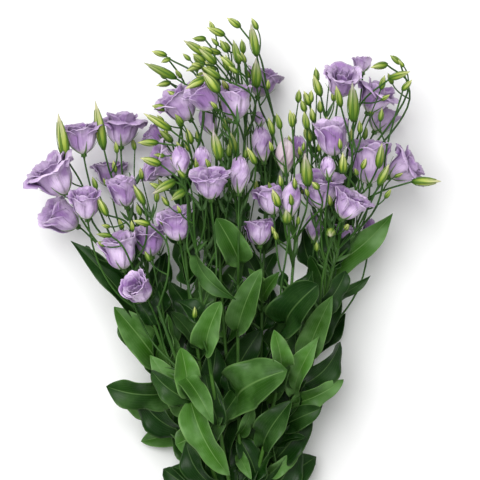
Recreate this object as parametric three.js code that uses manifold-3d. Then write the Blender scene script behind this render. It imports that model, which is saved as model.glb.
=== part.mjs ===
// Bunch of cut lisianthus stems, tied near the cut ends and laid down on a table.
// Millimetres. +X to the right, +Y along the stems towards the flowers, +Z up from the table.
// Twelve leafy stems fan out from the tie. Every bloom is a solid of its own, seated on its calyx.

import * as THREE from 'three';
import Module from 'manifold-3d';

const wasm = await Module();
wasm.setup();

// ---------------------------------------------------------------- driving dimensions

const BUNCH_LENGTH_TO_TIE = 70;
const STEM_PITCH = 6.1;
const STEM_RADIUS_FOOT = 2.9;
const STEM_RADIUS_TOP = 1.7;
const STEM_SIDES = 5;
const STEM_STEPS_PER_SPAN = 2;
const FOOT_SPREAD = 1.35;

const TIE_WIDTH = 12;
const TIE_OUTER = 16.2;
const TIE_INNER = 13.4;
const TIE_SIDES = 16;

const BRANCH_RADIUS_START = 1.35;
const BRANCH_RADIUS_END = 1.05;
const STALK_STEPS = 3;
const BLOOM_STALK_SIDES = 3;
const BUD_STALK_STEPS = 2;
const LONG_BUD_STALK = 60;
const BUD_STALK_SIDES = 4;
const SMALL_BUD_WIDTH = 7;
const SMALL_BUD_SIDES = 3;

const CALYX_LENGTH = 8;
const CALYX_RADIUS = 3.4;
const SEAT_GAP = 0.3;

const PETAL_THICKNESS = 1.1;
const PETAL_ROOT_RADIUS = 2.8;
const PETAL_STEP = 1.3;
const PETAL_SHOULDER = 0.84;
const SEAM_ANGLE = 8;
const PETAL_KNEE = 0.45;
const HEART_PETAL = 40;
const WIDE_BELL = 42;
const HEART_FLOOR = 0.55;
const HEART_SHARE = 0.8;

const LEAF_THICKNESS = 0.9;
const LEAF_ROOT_OFFSET = 1.8;
const CUT_GAP = 0.3;

// Angles of a petal to the axis of its bloom, in degrees, at its root, its middle and its rim.
const FORMS = {
  closed: { root: 34, middle: 8, rim: -50, ruffle: 0.3 },
  cup: { root: 70, middle: 6, rim: 23, ruffle: 1.8 },
  bell: { root: 66, middle: 12, rim: 54, ruffle: 2.6 },
};

// ---------------------------------------------------------------- layout of the bunch
// Laid out with x = 0 on the tie's axis and y = 0 at the cut ends, and centred once it is built.

// slot is the stem's place in the tie, in pitches across and up; route is where it runs above it.
const STEMS = [
  { name: 'stem_01', slot: [-1.5, -0.5], route: [[-46, 150, 38], [-84, 250, 66], [-122, 350, 88], [-150, 430, 98]] },
  { name: 'stem_02', slot: [-1, 0.5], route: [[-40, 150, 58], [-72, 250, 96], [-108, 350, 118], [-140, 420, 122]] },
  { name: 'stem_03', slot: [-1, -1.5], route: [[-38, 150, 24], [-70, 250, 34], [-104, 360, 46], [-128, 470, 52]] },
  { name: 'stem_04', slot: [-0.5, 1.5], route: [[-30, 150, 72], [-56, 240, 118], [-84, 320, 136], [-98, 360, 136]] },
  { name: 'stem_05', slot: [-0.5, -0.5], route: [[-22, 150, 42], [-44, 260, 62], [-62, 380, 78], [-72, 500, 84]] },
  { name: 'stem_06', slot: [0.5, 1.5], route: [[-14, 150, 80], [-30, 250, 132], [-44, 350, 150], [-52, 430, 150]] },
  { name: 'stem_07', slot: [0, -1.5], route: [[-8, 150, 28], [-14, 260, 40], [-24, 400, 52], [-30, 590, 62]] },
  { name: 'stem_08', slot: [0, 0.5], route: [[0, 150, 60], [-2, 260, 92], [-2, 400, 104], [8, 600, 78]] },
  { name: 'stem_09', slot: [0.5, -0.5], route: [[12, 150, 40], [24, 260, 52], [28, 400, 52], [42, 590, 36]] },
  { name: 'stem_10', slot: [1, 0.5], route: [[20, 150, 64], [42, 250, 104], [58, 350, 120], [66, 440, 112]] },
  { name: 'stem_11', slot: [1, -1.5], route: [[28, 150, 30], [58, 250, 40], [92, 370, 52], [126, 520, 72]] },
  { name: 'stem_12', slot: [1.5, -0.5], route: [[34, 150, 48], [66, 250, 78], [96, 350, 100], [118, 430, 112]] },
];

// base is where the bloom sits on its calyx; heading is its axis in plan, from +X, and lift its axis
// above the table, in degrees; petal is the length of an outer petal; a pale bloom is pink.
const BLOOMS = [
  { name: 'bloom_01', on: 'stem_01', base: [-208, 493, 118], heading: 124, lift: 14, form: 'bell', petal: 60 },
  { name: 'bloom_02', on: 'stem_02', base: [-197, 455, 84], heading: 148, lift: 20, form: 'cup', petal: 51 },
  { name: 'bloom_03', on: 'stem_01', base: [-188, 542, 92], heading: 96, lift: 8, form: 'bell', petal: 47 },
  { name: 'bloom_04', on: 'stem_03', base: [-144, 552, 66], heading: 88, lift: 6, form: 'bell', petal: 50 },
  { name: 'bloom_05', on: 'stem_03', base: [-158, 503, 20], heading: 96, lift: -2, form: 'bell', petal: 40 },
  { name: 'bloom_06', on: 'stem_02', base: [-136, 479, 96], heading: 104, lift: 14, form: 'cup', petal: 42 },
  { name: 'bloom_07', on: 'stem_02', base: [-181, 464, 138], heading: 96, lift: 20, form: 'cup', petal: 42 },
  { name: 'bloom_08', on: 'stem_07', base: [-60, 584, 92], heading: 128, lift: 12, form: 'cup', petal: 50 },
  { name: 'bloom_09', on: 'stem_08', base: [-31, 595, 142], heading: 134, lift: 18, form: 'cup', petal: 44 },
  { name: 'bloom_10', on: 'stem_08', base: [-4, 582, 124], heading: 96, lift: 14, form: 'cup', petal: 48 },
  { name: 'bloom_11', on: 'stem_07', base: [-32, 566, 86], heading: 114, lift: 4, form: 'closed', petal: 36 },
  { name: 'bloom_12', on: 'stem_05', base: [-96, 558, 52], heading: 145, lift: 0, form: 'cup', petal: 26 },
  { name: 'bloom_13', on: 'stem_05', base: [-74, 524, 102], heading: 160, lift: 16, form: 'bell', petal: 44 },
  { name: 'bloom_14', on: 'stem_05', base: [-98, 518, 50], heading: 165, lift: 0, form: 'cup', petal: 26 },
  { name: 'bloom_15', on: 'stem_06', base: [-67, 515, 150], heading: 100, lift: 8, form: 'closed', petal: 38 },
  { name: 'bloom_16', on: 'stem_06', base: [-43, 517, 122], heading: 96, lift: 4, form: 'closed', petal: 36 },
  { name: 'bloom_17', on: 'stem_06', base: [-34, 487, 164], heading: 92, lift: 22, form: 'bell', petal: 43 },
  { name: 'bloom_18', on: 'stem_06', base: [-72, 438, 132], heading: 100, lift: 18, form: 'cup', petal: 46 },
  { name: 'bloom_19', on: 'stem_04', base: [-106, 419, 98], heading: 99, lift: 10, form: 'cup', petal: 44 },
  { name: 'bloom_20', on: 'stem_04', base: [-138, 404, 132], heading: 103, lift: 14, form: 'cup', petal: 50 },
  { name: 'bloom_21', on: 'stem_04', base: [-112, 370, 150], heading: 128, lift: 44, form: 'cup', petal: 40 },
  { name: 'bloom_22', on: 'stem_07', base: [12, 358, 20], heading: 96, lift: 0, form: 'cup', petal: 42 },
  { name: 'bloom_23', on: 'stem_09', base: [22, 614, 44], heading: 72, lift: 4, form: 'cup', petal: 42 },
  { name: 'bloom_24', on: 'stem_11', base: [118, 610, 118], heading: 80, lift: 30, form: 'bell', petal: 44 },
  { name: 'bloom_25', on: 'stem_11', base: [148, 642, 66], heading: 92, lift: 4, form: 'cup', petal: 22 },
  { name: 'bloom_26', on: 'stem_11', base: [154, 592, 96], heading: 62, lift: 10, form: 'bell', petal: 46 },
  { name: 'bloom_27', on: 'stem_11', base: [166, 572, 19], heading: 60, lift: -2, form: 'cup', petal: 39 },
  { name: 'bloom_28', on: 'stem_12', base: [112, 539, 128], heading: 97, lift: 16, form: 'cup', petal: 50 },
  { name: 'bloom_29', on: 'stem_12', base: [155, 506, 104], heading: 92, lift: 10, form: 'cup', petal: 62 },
  { name: 'bloom_30', on: 'stem_11', base: [181, 514, 92], heading: 32, lift: 8, form: 'bell', petal: 46 },
  { name: 'bloom_31', on: 'stem_09', base: [29, 533, 76], heading: 97, lift: 4, form: 'closed', petal: 46 },
  { name: 'bloom_32', on: 'stem_09', base: [24, 577, 62], heading: 90, lift: 0, form: 'closed', petal: 18 },
  { name: 'bloom_33', on: 'stem_10', base: [72, 536, 98], heading: 95, lift: 4, form: 'closed', petal: 30 },
  { name: 'bloom_34', on: 'stem_10', base: [55, 518, 122], heading: 92, lift: 10, form: 'closed', petal: 46, pale: true },
  { name: 'bloom_35', on: 'stem_12', base: [96, 476, 124], heading: 92, lift: 20, form: 'bell', petal: 53 },
  { name: 'bloom_36', on: 'stem_12', base: [121, 464, 152], heading: 62, lift: 16, form: 'bell', petal: 42 },
  { name: 'bloom_37', on: 'stem_10', base: [40, 469, 96], heading: 97, lift: 6, form: 'cup', petal: 42 },
  { name: 'bloom_38', on: 'stem_10', base: [60, 466, 146], heading: 88, lift: 6, form: 'closed', petal: 45 },
  { name: 'bloom_39', on: 'stem_12', base: [104, 512, 166], heading: 92, lift: 6, form: 'closed', petal: 26 },
  { name: 'bloom_40', on: 'stem_09', base: [24, 432, 84], heading: 95, lift: 4, form: 'cup', petal: 38 },
  { name: 'bloom_41', on: 'stem_10', base: [89, 438, 84], heading: 90, lift: 4, form: 'closed', petal: 36 },
  { name: 'bloom_42', on: 'stem_12', base: [121, 432, 78], heading: 85, lift: 6, form: 'cup', petal: 30 },
  { name: 'bloom_43', on: 'stem_11', base: [157, 442, 66], heading: 88, lift: 4, form: 'closed', petal: 24 },
  { name: 'bloom_44', on: 'stem_08', base: [-1, 494, 132], heading: 88, lift: 6, form: 'closed', petal: 48 },
];

// Closed green buds, fused to their stem: base, tip and greatest width.
const BUDS = [
  { on: 'stem_01', base: [-208, 535, 112], tip: [-217, 589, 120], width: 11 },
  { on: 'stem_03', base: [-164, 548, 92], tip: [-174, 605, 96], width: 10 },
  { on: 'stem_02', base: [-157, 467, 150], tip: [-169, 490, 156], width: 7 },
  { on: 'stem_02', base: [-114, 481, 122], tip: [-127, 504, 128], width: 7 },
  { on: 'stem_02', base: [-152, 443, 150], tip: [-170, 445, 154], width: 5 },
  { on: 'stem_04', base: [-107, 457, 142], tip: [-127, 461, 146], width: 6 },
  { on: 'stem_05', base: [-89, 661, 78], tip: [-107, 666, 80], width: 6 },
  { on: 'stem_05', base: [-84, 656, 98], tip: [-95, 651, 100], width: 5 },
  { on: 'stem_05', base: [-77, 632, 108], tip: [-115, 650, 112], width: 8 },
  { on: 'stem_05', base: [-84, 628, 84], tip: [-101, 624, 84], width: 6 },
  { on: 'stem_05', base: [-88, 596, 98], tip: [-106, 599, 100], width: 7 },
  { on: 'stem_05', base: [-83, 570, 118], tip: [-115, 589, 122], width: 8 },
  { on: 'stem_05', base: [-98, 554, 124], tip: [-122, 554, 126], width: 7 },
  { on: 'stem_05', base: [-82, 557, 76], tip: [-98, 571, 76], width: 7 },
  { on: 'stem_07', base: [-58, 554, 104], tip: [-64, 572, 106], width: 7 },
  { on: 'stem_06', base: [-94, 528, 148], tip: [-118, 535, 152], width: 8 },
  { on: 'stem_06', base: [-77, 508, 168], tip: [-103, 492, 174], width: 9 },
  { on: 'stem_06', base: [-65, 496, 184], tip: [-81, 484, 188], width: 8 },
  { on: 'stem_07', base: [-42, 662, 92], tip: [-68, 678, 94], width: 8 },
  { on: 'stem_07', base: [-42, 682, 66], tip: [-58, 682, 66], width: 6 },
  { on: 'stem_08', base: [-19, 685, 88], tip: [-40, 694, 90], width: 7 },
  { on: 'stem_09', base: [0, 696, 72], tip: [-16, 707, 72], width: 7 },
  { on: 'stem_08', base: [-29, 649, 118], tip: [-49, 666, 122], width: 8 },
  { on: 'stem_07', base: [-24, 664, 72], tip: [-43, 670, 70], width: 6 },
  { on: 'stem_08', base: [-1, 649, 112], tip: [-8, 677, 116], width: 8 },
  { on: 'stem_08', base: [-7, 642, 136], tip: [-24, 656, 140], width: 7 },
  { on: 'stem_07', base: [-43, 647, 140], tip: [-64, 638, 144], width: 7 },
  { on: 'stem_08', base: [-24, 630, 158], tip: [-44, 642, 162], width: 7 },
  { on: 'stem_08', base: [-25, 612, 176], tip: [-44, 635, 182], width: 10 },
  { on: 'stem_07', base: [-42, 628, 164], tip: [-64, 616, 166], width: 8 },
  { on: 'stem_08', base: [-24, 533, 156], tip: [-32, 568, 162], width: 10 },
  { on: 'stem_08', base: [-6, 542, 106], tip: [-11, 567, 110], width: 8 },
  { on: 'stem_09', base: [20, 660, 92], tip: [13, 698, 94], width: 9 },
  { on: 'stem_09', base: [20, 622, 96], tip: [19, 656, 104], width: 10 },
  { on: 'stem_08', base: [19, 529, 122], tip: [8, 549, 126], width: 7 },
  { on: 'stem_11', base: [97, 612, 92], tip: [88, 637, 94], width: 8 },
  { on: 'stem_12', base: [84, 601, 82], tip: [77, 618, 82], width: 7 },
  { on: 'stem_12', base: [119, 596, 156], tip: [113, 620, 164], width: 7 },
  { on: 'stem_12', base: [134, 578, 160], tip: [132, 623, 170], width: 11 },
  { on: 'stem_11', base: [176, 648, 112], tip: [156, 644, 116], width: 7 },
  { on: 'stem_11', base: [193, 650, 96], tip: [180, 660, 98], width: 6 },
  { on: 'stem_11', base: [178, 630, 134], tip: [202, 638, 138], width: 7 },
  { on: 'stem_12', base: [193, 616, 136], tip: [204, 628, 140], width: 6 },
  { on: 'stem_12', base: [80, 570, 132], tip: [76, 591, 134], width: 7 },
  { on: 'stem_10', base: [84, 556, 118], tip: [77, 574, 120], width: 7 },
  { on: 'stem_10', base: [40, 565, 102], tip: [34, 585, 104], width: 6 },
  { on: 'stem_10', base: [48, 570, 146], tip: [43, 588, 150], width: 6 },
  { on: 'stem_10', base: [62, 572, 148], tip: [59, 592, 152], width: 6 },
  { on: 'stem_10', base: [80, 502, 162], tip: [76, 540, 170], width: 11 },
  { on: 'stem_12', base: [122, 517, 156], tip: [121, 541, 162], width: 8 },
  { on: 'stem_11', base: [164, 524, 144], tip: [168, 553, 148], width: 8 },
  { on: 'stem_12', base: [164, 503, 152], tip: [176, 528, 158], width: 8 },
  { on: 'stem_11', base: [206, 508, 118], tip: [240, 508, 122], width: 9 },
  { on: 'stem_10', base: [46, 478, 158], tip: [38, 498, 164], width: 8 },
  { on: 'stem_10', base: [92, 498, 184], tip: [84, 506, 188], width: 6 },
  { on: 'stem_12', base: [108, 450, 150], tip: [106, 442, 160], width: 9 },
  { on: 'stem_06', base: [-40, 344, 164], tip: [-30, 357, 168], width: 3 },
  { on: 'stem_10', base: [56, 458, 168], tip: [54, 474, 174], width: 9 },
];

// from is how far along the bunch the leaf clasps its stem. roll turns the blade about its midrib,
// arch is the rise of the midrib, fold the angle of each half to the blade, wave its edge's swing.
const LEAVES = [
  { on: 'stem_01', from: 335, tip: [-203, 437, 104], width: 30, roll: 25, arch: 0.1, fold: 22, wave: 3 },
  { on: 'stem_01', from: 290, tip: [-151, 358, 104], width: 40, roll: 10, arch: 0.14, fold: 16, wave: 3 },
  { on: 'stem_01', from: 255, tip: [-161, 262, 92], width: 42, roll: -20, arch: 0.2, fold: 14, wave: 4 },
  { on: 'stem_01', from: 205, tip: [-154, 244, 52], width: 34, roll: -30, arch: 0.16, fold: 20, wave: 4 },
  { on: 'stem_02', from: 282, tip: [-86, 350, 138], width: 16, roll: 60, arch: 0.06, fold: 20, wave: 2 },
  { on: 'stem_05', from: 310, tip: [-84, 352, 96], width: 24, roll: 30, arch: 0.1, fold: 18, wave: 2 },
  { on: 'stem_06', from: 311, tip: [-22, 366, 180], width: 36, roll: -18, arch: 0.18, fold: 30, wave: 3 },
  { on: 'stem_06', from: 420, tip: [-4, 368, 178], width: 24, roll: 30, arch: 0.22, fold: 18, wave: 2 },
  { on: 'stem_04', from: 258, tip: [-70, 311, 152], width: 32, roll: 12, arch: 0.14, fold: 18, wave: 3 },
  { on: 'stem_04', from: 278, tip: [-31, 221, 166], width: 28, roll: -14, arch: 0.2, fold: 20, wave: 3 },
  { on: 'stem_08', from: 254, tip: [-29, 216, 112], width: 24, roll: 0, arch: 0.16, fold: 16, wave: 2 },
  { on: 'stem_04', from: 246, tip: [-12, 157, 120], width: 38, roll: 20, arch: 0.18, fold: 20, wave: 4 },
  { on: 'stem_08', from: 246, tip: [56, 284, 150], width: 60, roll: -24, arch: 0.24, fold: 16, wave: 5 },
  { on: 'stem_10', from: 340, tip: [92, 386, 168], width: 50, roll: -20, arch: 0.2, fold: 26, wave: 4 },
  { on: 'stem_12', from: 299, tip: [110, 372, 132], width: 34, roll: -10, arch: 0.16, fold: 20, wave: 3 },
  { on: 'stem_12', from: 296, tip: [118, 359, 72], width: 22, roll: 40, arch: 0.08, fold: 18, wave: 2 },
  { on: 'stem_12', from: 251, tip: [94, 323, 128], width: 30, roll: -30, arch: 0.12, fold: 24, wave: 3 },
  { on: 'stem_12', from: 240, tip: [125, 270, 86], width: 28, roll: 15, arch: 0.16, fold: 18, wave: 3 },
  { on: 'stem_11', from: 362, tip: [158, 395, 70], width: 18, roll: 35, arch: 0.12, fold: 20, wave: 2 },
  { on: 'stem_11', from: 401, tip: [184, 470, 88], width: 36, roll: 20, arch: 0.16, fold: 16, wave: 3 },
  { on: 'stem_11', from: 408, tip: [140, 474, 30], width: 30, roll: -30, arch: 0.1, fold: 18, wave: 3 },
  { on: 'stem_09', from: 366, tip: [10, 404, 84], width: 20, roll: 30, arch: 0.1, fold: 20, wave: 2 },
  { on: 'stem_09', from: 366, tip: [48, 400, 80], width: 18, roll: -20, arch: 0.1, fold: 20, wave: 2 },
  { on: 'stem_10', from: 190, tip: [62, 247, 128], width: 38, roll: -20, arch: 0.18, fold: 22, wave: 4 },
  { on: 'stem_12', from: 155, tip: [72, 181, 66], width: 20, roll: 10, arch: 0.16, fold: 18, wave: 2 },
  { on: 'stem_08', from: 206, tip: [16, 245, 124], width: 18, roll: 20, arch: 0.14, fold: 20, wave: 2 },
  { on: 'stem_12', from: 188, tip: [80, 200, 82], width: 16, roll: -30, arch: 0.2, fold: 26, wave: 3 },
  { on: 'stem_08', from: 176, tip: [14, 150, 96], width: 16, roll: 0, arch: 0.2, fold: 18, wave: 2 },
  { on: 'stem_01', from: 162, tip: [-94, 150, 36], width: 16, roll: 0, arch: 0.16, fold: 18, wave: 2 },
  { on: 'stem_10', from: 286, tip: [40, 332, 156], width: 28, roll: 14, arch: 0.14, fold: 20, wave: 3 },
  { on: 'stem_08', from: 412, tip: [-28, 464, 136], width: 36, roll: 10, arch: 0.14, fold: 18, wave: 3 },
  { on: 'stem_09', from: 492, tip: [36, 552, 36], width: 22, roll: -20, arch: 0.08, fold: 20, wave: 2 },
  { on: 'stem_05', from: 216, tip: [-78, 190, 66], width: 40, roll: -10, arch: 0.2, fold: 16, wave: 4 },
  { on: 'stem_05', from: 216, tip: [6, 262, 66], width: 34, roll: 14, arch: 0.16, fold: 18, wave: 3 },
  { on: 'stem_07', from: 262, tip: [26, 330, 60], width: 38, roll: -8, arch: 0.16, fold: 18, wave: 3 },
  { on: 'stem_09', from: 240, tip: [62, 316, 62], width: 36, roll: 10, arch: 0.14, fold: 16, wave: 3 },
  { on: 'stem_06', from: 232, tip: [-52, 186, 122], width: 34, roll: 12, arch: 0.2, fold: 18, wave: 3 },
  { on: 'stem_02', from: 226, tip: [-108, 300, 104], width: 34, roll: 12, arch: 0.14, fold: 18, wave: 3 },
  { on: 'stem_08', from: 330, tip: [26, 404, 126], width: 34, roll: -14, arch: 0.16, fold: 20, wave: 3 },
  { on: 'stem_12', from: 214, tip: [98, 236, 96], width: 30, roll: -8, arch: 0.18, fold: 18, wave: 3 },
  { on: 'stem_03', from: 210, tip: [-122, 190, 12], width: 34, roll: 14, arch: 0.1, fold: 16, wave: 3 },
  { on: 'stem_03', from: 300, tip: [-146, 336, 12], width: 34, roll: -12, arch: 0.12, fold: 18, wave: 3 },
  { on: 'stem_07', from: 200, tip: [-36, 280, 10], width: 34, roll: 10, arch: 0.08, fold: 16, wave: 3 },
  { on: 'stem_07', from: 320, tip: [-56, 392, 12], width: 32, roll: -10, arch: 0.1, fold: 18, wave: 3 },
  { on: 'stem_11', from: 220, tip: [102, 236, 12], width: 32, roll: -14, arch: 0.12, fold: 18, wave: 3 },
  { on: 'stem_11', from: 310, tip: [66, 384, 14], width: 32, roll: 12, arch: 0.1, fold: 18, wave: 3 },
  { on: 'stem_07', from: 430, tip: [-58, 486, 22], width: 28, roll: 16, arch: 0.1, fold: 18, wave: 3 },
];

const BLOOM_DROP = 105;
const BUD_DROP = 62;
const FORK_SLOPE = 1.1;
const FORK_PARTS = 1;
const TIED_POINTS = 3;
const BEND_ROUNDS = 60;
const BEND_CLEARANCE = 0.7;
const BEND_RATE = 0.9;
const BEND_EVENING = 0.12;
const ROOT_OFFSET = 1.3;

// ---------------------------------------------------------------- materials

const PETAL = new THREE.MeshStandardMaterial({ color: 0xb79ad6, roughness: 0.7, metalness: 0 });
const PALE_PETAL = new THREE.MeshStandardMaterial({ color: 0xe0b4d2, roughness: 0.7, metalness: 0 });
const STEM = new THREE.MeshStandardMaterial({ color: 0x4f8a3a, roughness: 0.6, metalness: 0 });
const RAFFIA = new THREE.MeshStandardMaterial({ color: 0xc9a974, roughness: 0.9, metalness: 0 });

// ---------------------------------------------------------------- shapes

const vector = ([x, y, z]) => new THREE.Vector3(x, y, z);
const degrees = THREE.MathUtils.degToRad;
const mix = THREE.MathUtils.lerp;

/** Closed solid from shared vertices and triangles. */
function solidOf(positions, triangles) {
  const vertProperties = new Float32Array(positions.flatMap((p) => [p.x, p.y, p.z]));
  const triVerts = new Uint32Array(triangles.flat());
  return new wasm.Manifold(new wasm.Mesh({ numProp: 3, vertProperties, triVerts }));
}

/**
 * Closed solid through rings of points, each with the same count, with a flat end at both. A strip
 * that runs back down inside a wall is split along the other diagonal, so that both faces match.
 */
function ringSolid(positions, sides, runsBack = () => false) {
  const last = positions.length / sides - 1;
  const triangles = [];
  for (let i = 0; i < last; i += 1) {
    for (let k = 0; k < sides; k += 1) {
      const a = i * sides + k;
      const b = i * sides + ((k + 1) % sides);
      if (runsBack(i)) {
        triangles.push([a, b, a + sides], [b, b + sides, a + sides]);
      } else {
        triangles.push([a, b, b + sides], [a, b + sides, a + sides]);
      }
    }
  }
  const end = last * sides;
  for (let k = 1; k < sides - 1; k += 1) {
    triangles.push([0, k + 1, k], [end, end + k, end + k + 1]);
  }
  return solidOf(positions, triangles);
}

/** Round bar that follows the points, with a radius at each of them. */
function sweep(points, radii, sides, grow = 0) {
  const last = points.length - 1;
  const first = points[1].clone().sub(points[0]).normalize();
  let side = new THREE.Vector3(0, 0, 1);
  if (Math.abs(first.z) > 0.9) {
    side.set(1, 0, 0);
  }
  const positions = [];
  for (let i = 0; i <= last; i += 1) {
    const along = points[Math.min(i + 1, last)].clone().sub(points[Math.max(i - 1, 0)]).normalize();
    side = side.clone().addScaledVector(along, -side.dot(along)).normalize();
    const other = along.clone().cross(side);
    for (let k = 0; k < sides; k += 1) {
      const angle = (2 * Math.PI * k) / sides;
      const point = points[i].clone();
      point.addScaledVector(side, Math.cos(angle) * (radii[i] + grow));
      point.addScaledVector(other, Math.sin(angle) * (radii[i] + grow));
      positions.push(point);
    }
  }
  return ringSolid(positions, sides);
}

/** Thin blade of even thickness round surface(u, v), with u from -1 to 1 and v from 0 to 1. */
function blade(surface, columns, rows, thickness) {
  const step = 0.01;
  const faces = [[], []];
  for (let j = 0; j <= rows; j += 1) {
    for (let i = 0; i <= columns; i += 1) {
      const u = (2 * i) / columns - 1;
      const v = j / rows;
      const across = surface(u + step, v).sub(surface(u - step, v));
      const along = surface(u, v + step).sub(surface(u, v - step));
      const normal = across.cross(along).normalize();
      faces[0].push(surface(u, v).addScaledVector(normal, thickness / 2));
      faces[1].push(surface(u, v).addScaledVector(normal, -thickness / 2));
    }
  }
  const width = columns + 1;
  const back = faces[0].length;
  const triangles = [];
  for (let j = 0; j < rows; j += 1) {
    for (let i = 0; i < columns; i += 1) {
      const a = j * width + i;
      const c = a + width + 1;
      triangles.push([a, a + 1, c], [a, c, a + width]);
      triangles.push([back + a, back + c, back + a + 1], [back + a, back + a + width, back + c]);
    }
  }
  const rim = [];
  for (let i = 0; i < columns; i += 1) {
    rim.push(i);
  }
  for (let j = 0; j < rows; j += 1) {
    rim.push(j * width + columns);
  }
  for (let i = columns; i > 0; i -= 1) {
    rim.push(rows * width + i);
  }
  for (let j = rows; j > 0; j -= 1) {
    rim.push(j * width);
  }
  rim.forEach((p, k) => {
    const q = rim[(k + 1) % rim.length];
    triangles.push([back + p, back + q, q], [back + p, q, p]);
  });
  return solidOf([...faces[0], ...faces[1]], triangles);
}

/** Point at a height along the bunch on a rising line of points, with the line's direction there. */
function pointAtHeight(points, height) {
  const top = points[points.length - 1].y;
  const wanted = Math.min(Math.max(height, points[0].y + 1), top - 1);
  for (let i = 1; i < points.length; i += 1) {
    if (points[i].y >= wanted) {
      const share = (wanted - points[i - 1].y) / (points[i].y - points[i - 1].y);
      const direction = points[i].clone().sub(points[i - 1]).normalize();
      return { point: points[i - 1].clone().lerp(points[i], Math.max(0, share)), direction };
    }
  }
  throw new Error('the line never reaches this height');
}

// ---------------------------------------------------------------- bending clear

/** Closest points of two segments. */
function closestPoints(a0, a1, b0, b1) {
  const d1 = a1.clone().sub(a0);
  const d2 = b1.clone().sub(b0);
  const r = a0.clone().sub(b0);
  const a = d1.lengthSq();
  const e = Math.max(d2.lengthSq(), 1e-9);
  const b = d1.dot(d2);
  const c = d1.dot(r);
  const f = d2.dot(r);
  const denominator = a * e - b * b;
  let s = denominator > 1e-9 ? THREE.MathUtils.clamp((b * f - c * e) / denominator, 0, 1) : 0.5;
  const t = THREE.MathUtils.clamp((b * s + f) / e, 0, 1);
  s = THREE.MathUtils.clamp((b * t - c) / a, 0, 1);
  return { s, onA: a0.clone().addScaledVector(d1, s), onB: b0.clone().addScaledVector(d2, t) };
}

/** Bends the inner points of a route off what other stems and blooms fill, and keeps its ends. */
function bendClear(points, radius, obstacles, owner, own, fixed = 1) {
  const shifts = points.map(() => new THREE.Vector3());
  const others = obstacles.filter((o) => o.owner !== owner && o.name !== own);
  const siblings = obstacles.filter((o) => o.owner === owner && o.part >= FORK_PARTS);
  const last = points.length - 1;
  for (let round = 0; round < BEND_ROUNDS; round += 1) {
    const moved = points.map((p, i) => p.clone().add(shifts[i]));
    for (let i = 0; i < last; i += 1) {
      for (const o of i >= FORK_PARTS ? [...others, ...siblings] : others) {
        const { s, onA, onB } = closestPoints(moved[i], moved[i + 1], o.from, o.to);
        const away = onA.clone().sub(onB);
        const short = radius + o.radius + BEND_CLEARANCE - away.length();
        if (short > 0) {
          away.normalize();
          shifts[i].addScaledVector(away, short * (1 - s) * BEND_RATE);
          shifts[i + 1].addScaledVector(away, short * s * BEND_RATE);
        }
      }
    }
    shifts.forEach((shift, i) => shift.multiplyScalar(i < fixed || i === last ? 0 : 1));
    for (let i = fixed; i < last && round < BEND_ROUNDS / 2; i += 1) {
      const even = shifts[i - 1].clone().add(shifts[i + 1]).multiplyScalar(0.5);
      shifts[i].lerp(even, BEND_EVENING);
    }
  }
  return points.map((p, i) => p.clone().add(shifts[i]));
}

/** Straight parts of a route as obstacles for the routes laid after it. */
function segmentsOf(points, radius, owner, name) {
  return points.slice(1).map((to, part) => ({ from: points[part], to, radius, owner, name, part }));
}

// ---------------------------------------------------------------- blooms

/** Angle of a petal to its bloom's axis at share v of its length, in radians. */
function petalAngle(form, v) {
  if (v < PETAL_KNEE) {
    return degrees(mix(form.root, form.middle, v / PETAL_KNEE));
  }
  return degrees(mix(form.middle, form.rim, ((v - PETAL_KNEE) / (1 - PETAL_KNEE)) ** 1.3));
}

/** Radius and height of a petal's middle line at share v of its length, and its angle there. */
function petalProfile(form, length, v) {
  const steps = 12;
  let radius = PETAL_ROOT_RADIUS;
  let height = 0;
  for (let k = 0; k < steps; k += 1) {
    const angle = petalAngle(form, (v * (k + 0.5)) / steps);
    radius += (Math.sin(angle) * length * v) / steps;
    height += (Math.cos(angle) * length * v) / steps;
  }
  return { radius, height, angle: petalAngle(form, v) };
}

/** Frame of a bloom: its axis, and the two directions across it. */
function bloomFrame(bloom) {
  const heading = degrees(bloom.heading);
  const lift = degrees(bloom.lift);
  const axis = new THREE.Vector3(
    Math.cos(heading) * Math.cos(lift),
    Math.sin(heading) * Math.cos(lift),
    Math.sin(lift),
  );
  const right = new THREE.Vector3(Math.sin(heading), -Math.cos(heading), 0);
  return { axis, right, up: axis.clone().cross(right) };
}

/**
 * Rings of a bloom from its seat up the outside, over the rim of the outer petals and down to the
 * floor of the cup, then up and over the inner petals in the same way. Each ring is a share of a
 * petal's length, a side of its wall (0 outside, 1 inside) and the whorl it belongs to.
 */
function ringsOf(bloom) {
  if (bloom.form === 'closed') {
    return [0, PETAL_KNEE, 0.8, 1].map((share) => ({ share, side: 0, whorl: 0 }));
  }
  const outer = [
    { share: 0, side: 0, whorl: 0 },
    { share: PETAL_KNEE, side: 0, whorl: 0 },
    { share: 1, side: 0, whorl: 0 },
    { share: 1, side: 1, whorl: 0 },
    { share: PETAL_KNEE, side: 1, whorl: 0 },
  ];
  const inner = [
    { share: PETAL_KNEE, side: 0, whorl: 1 },
    { share: 1, side: 0, whorl: 1 },
    { share: HEART_FLOOR, side: 1, whorl: 1 },
  ];
  return hasHeart(bloom) ? [...outer, ...inner] : outer;
}

const hasHeart = (bloom) => bloom.petal >= HEART_PETAL && bloom.form !== 'closed';

const petalCount = (bloom) => (bloom.form === 'bell' && bloom.petal >= WIDE_BELL ? 4 : 3);

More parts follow.
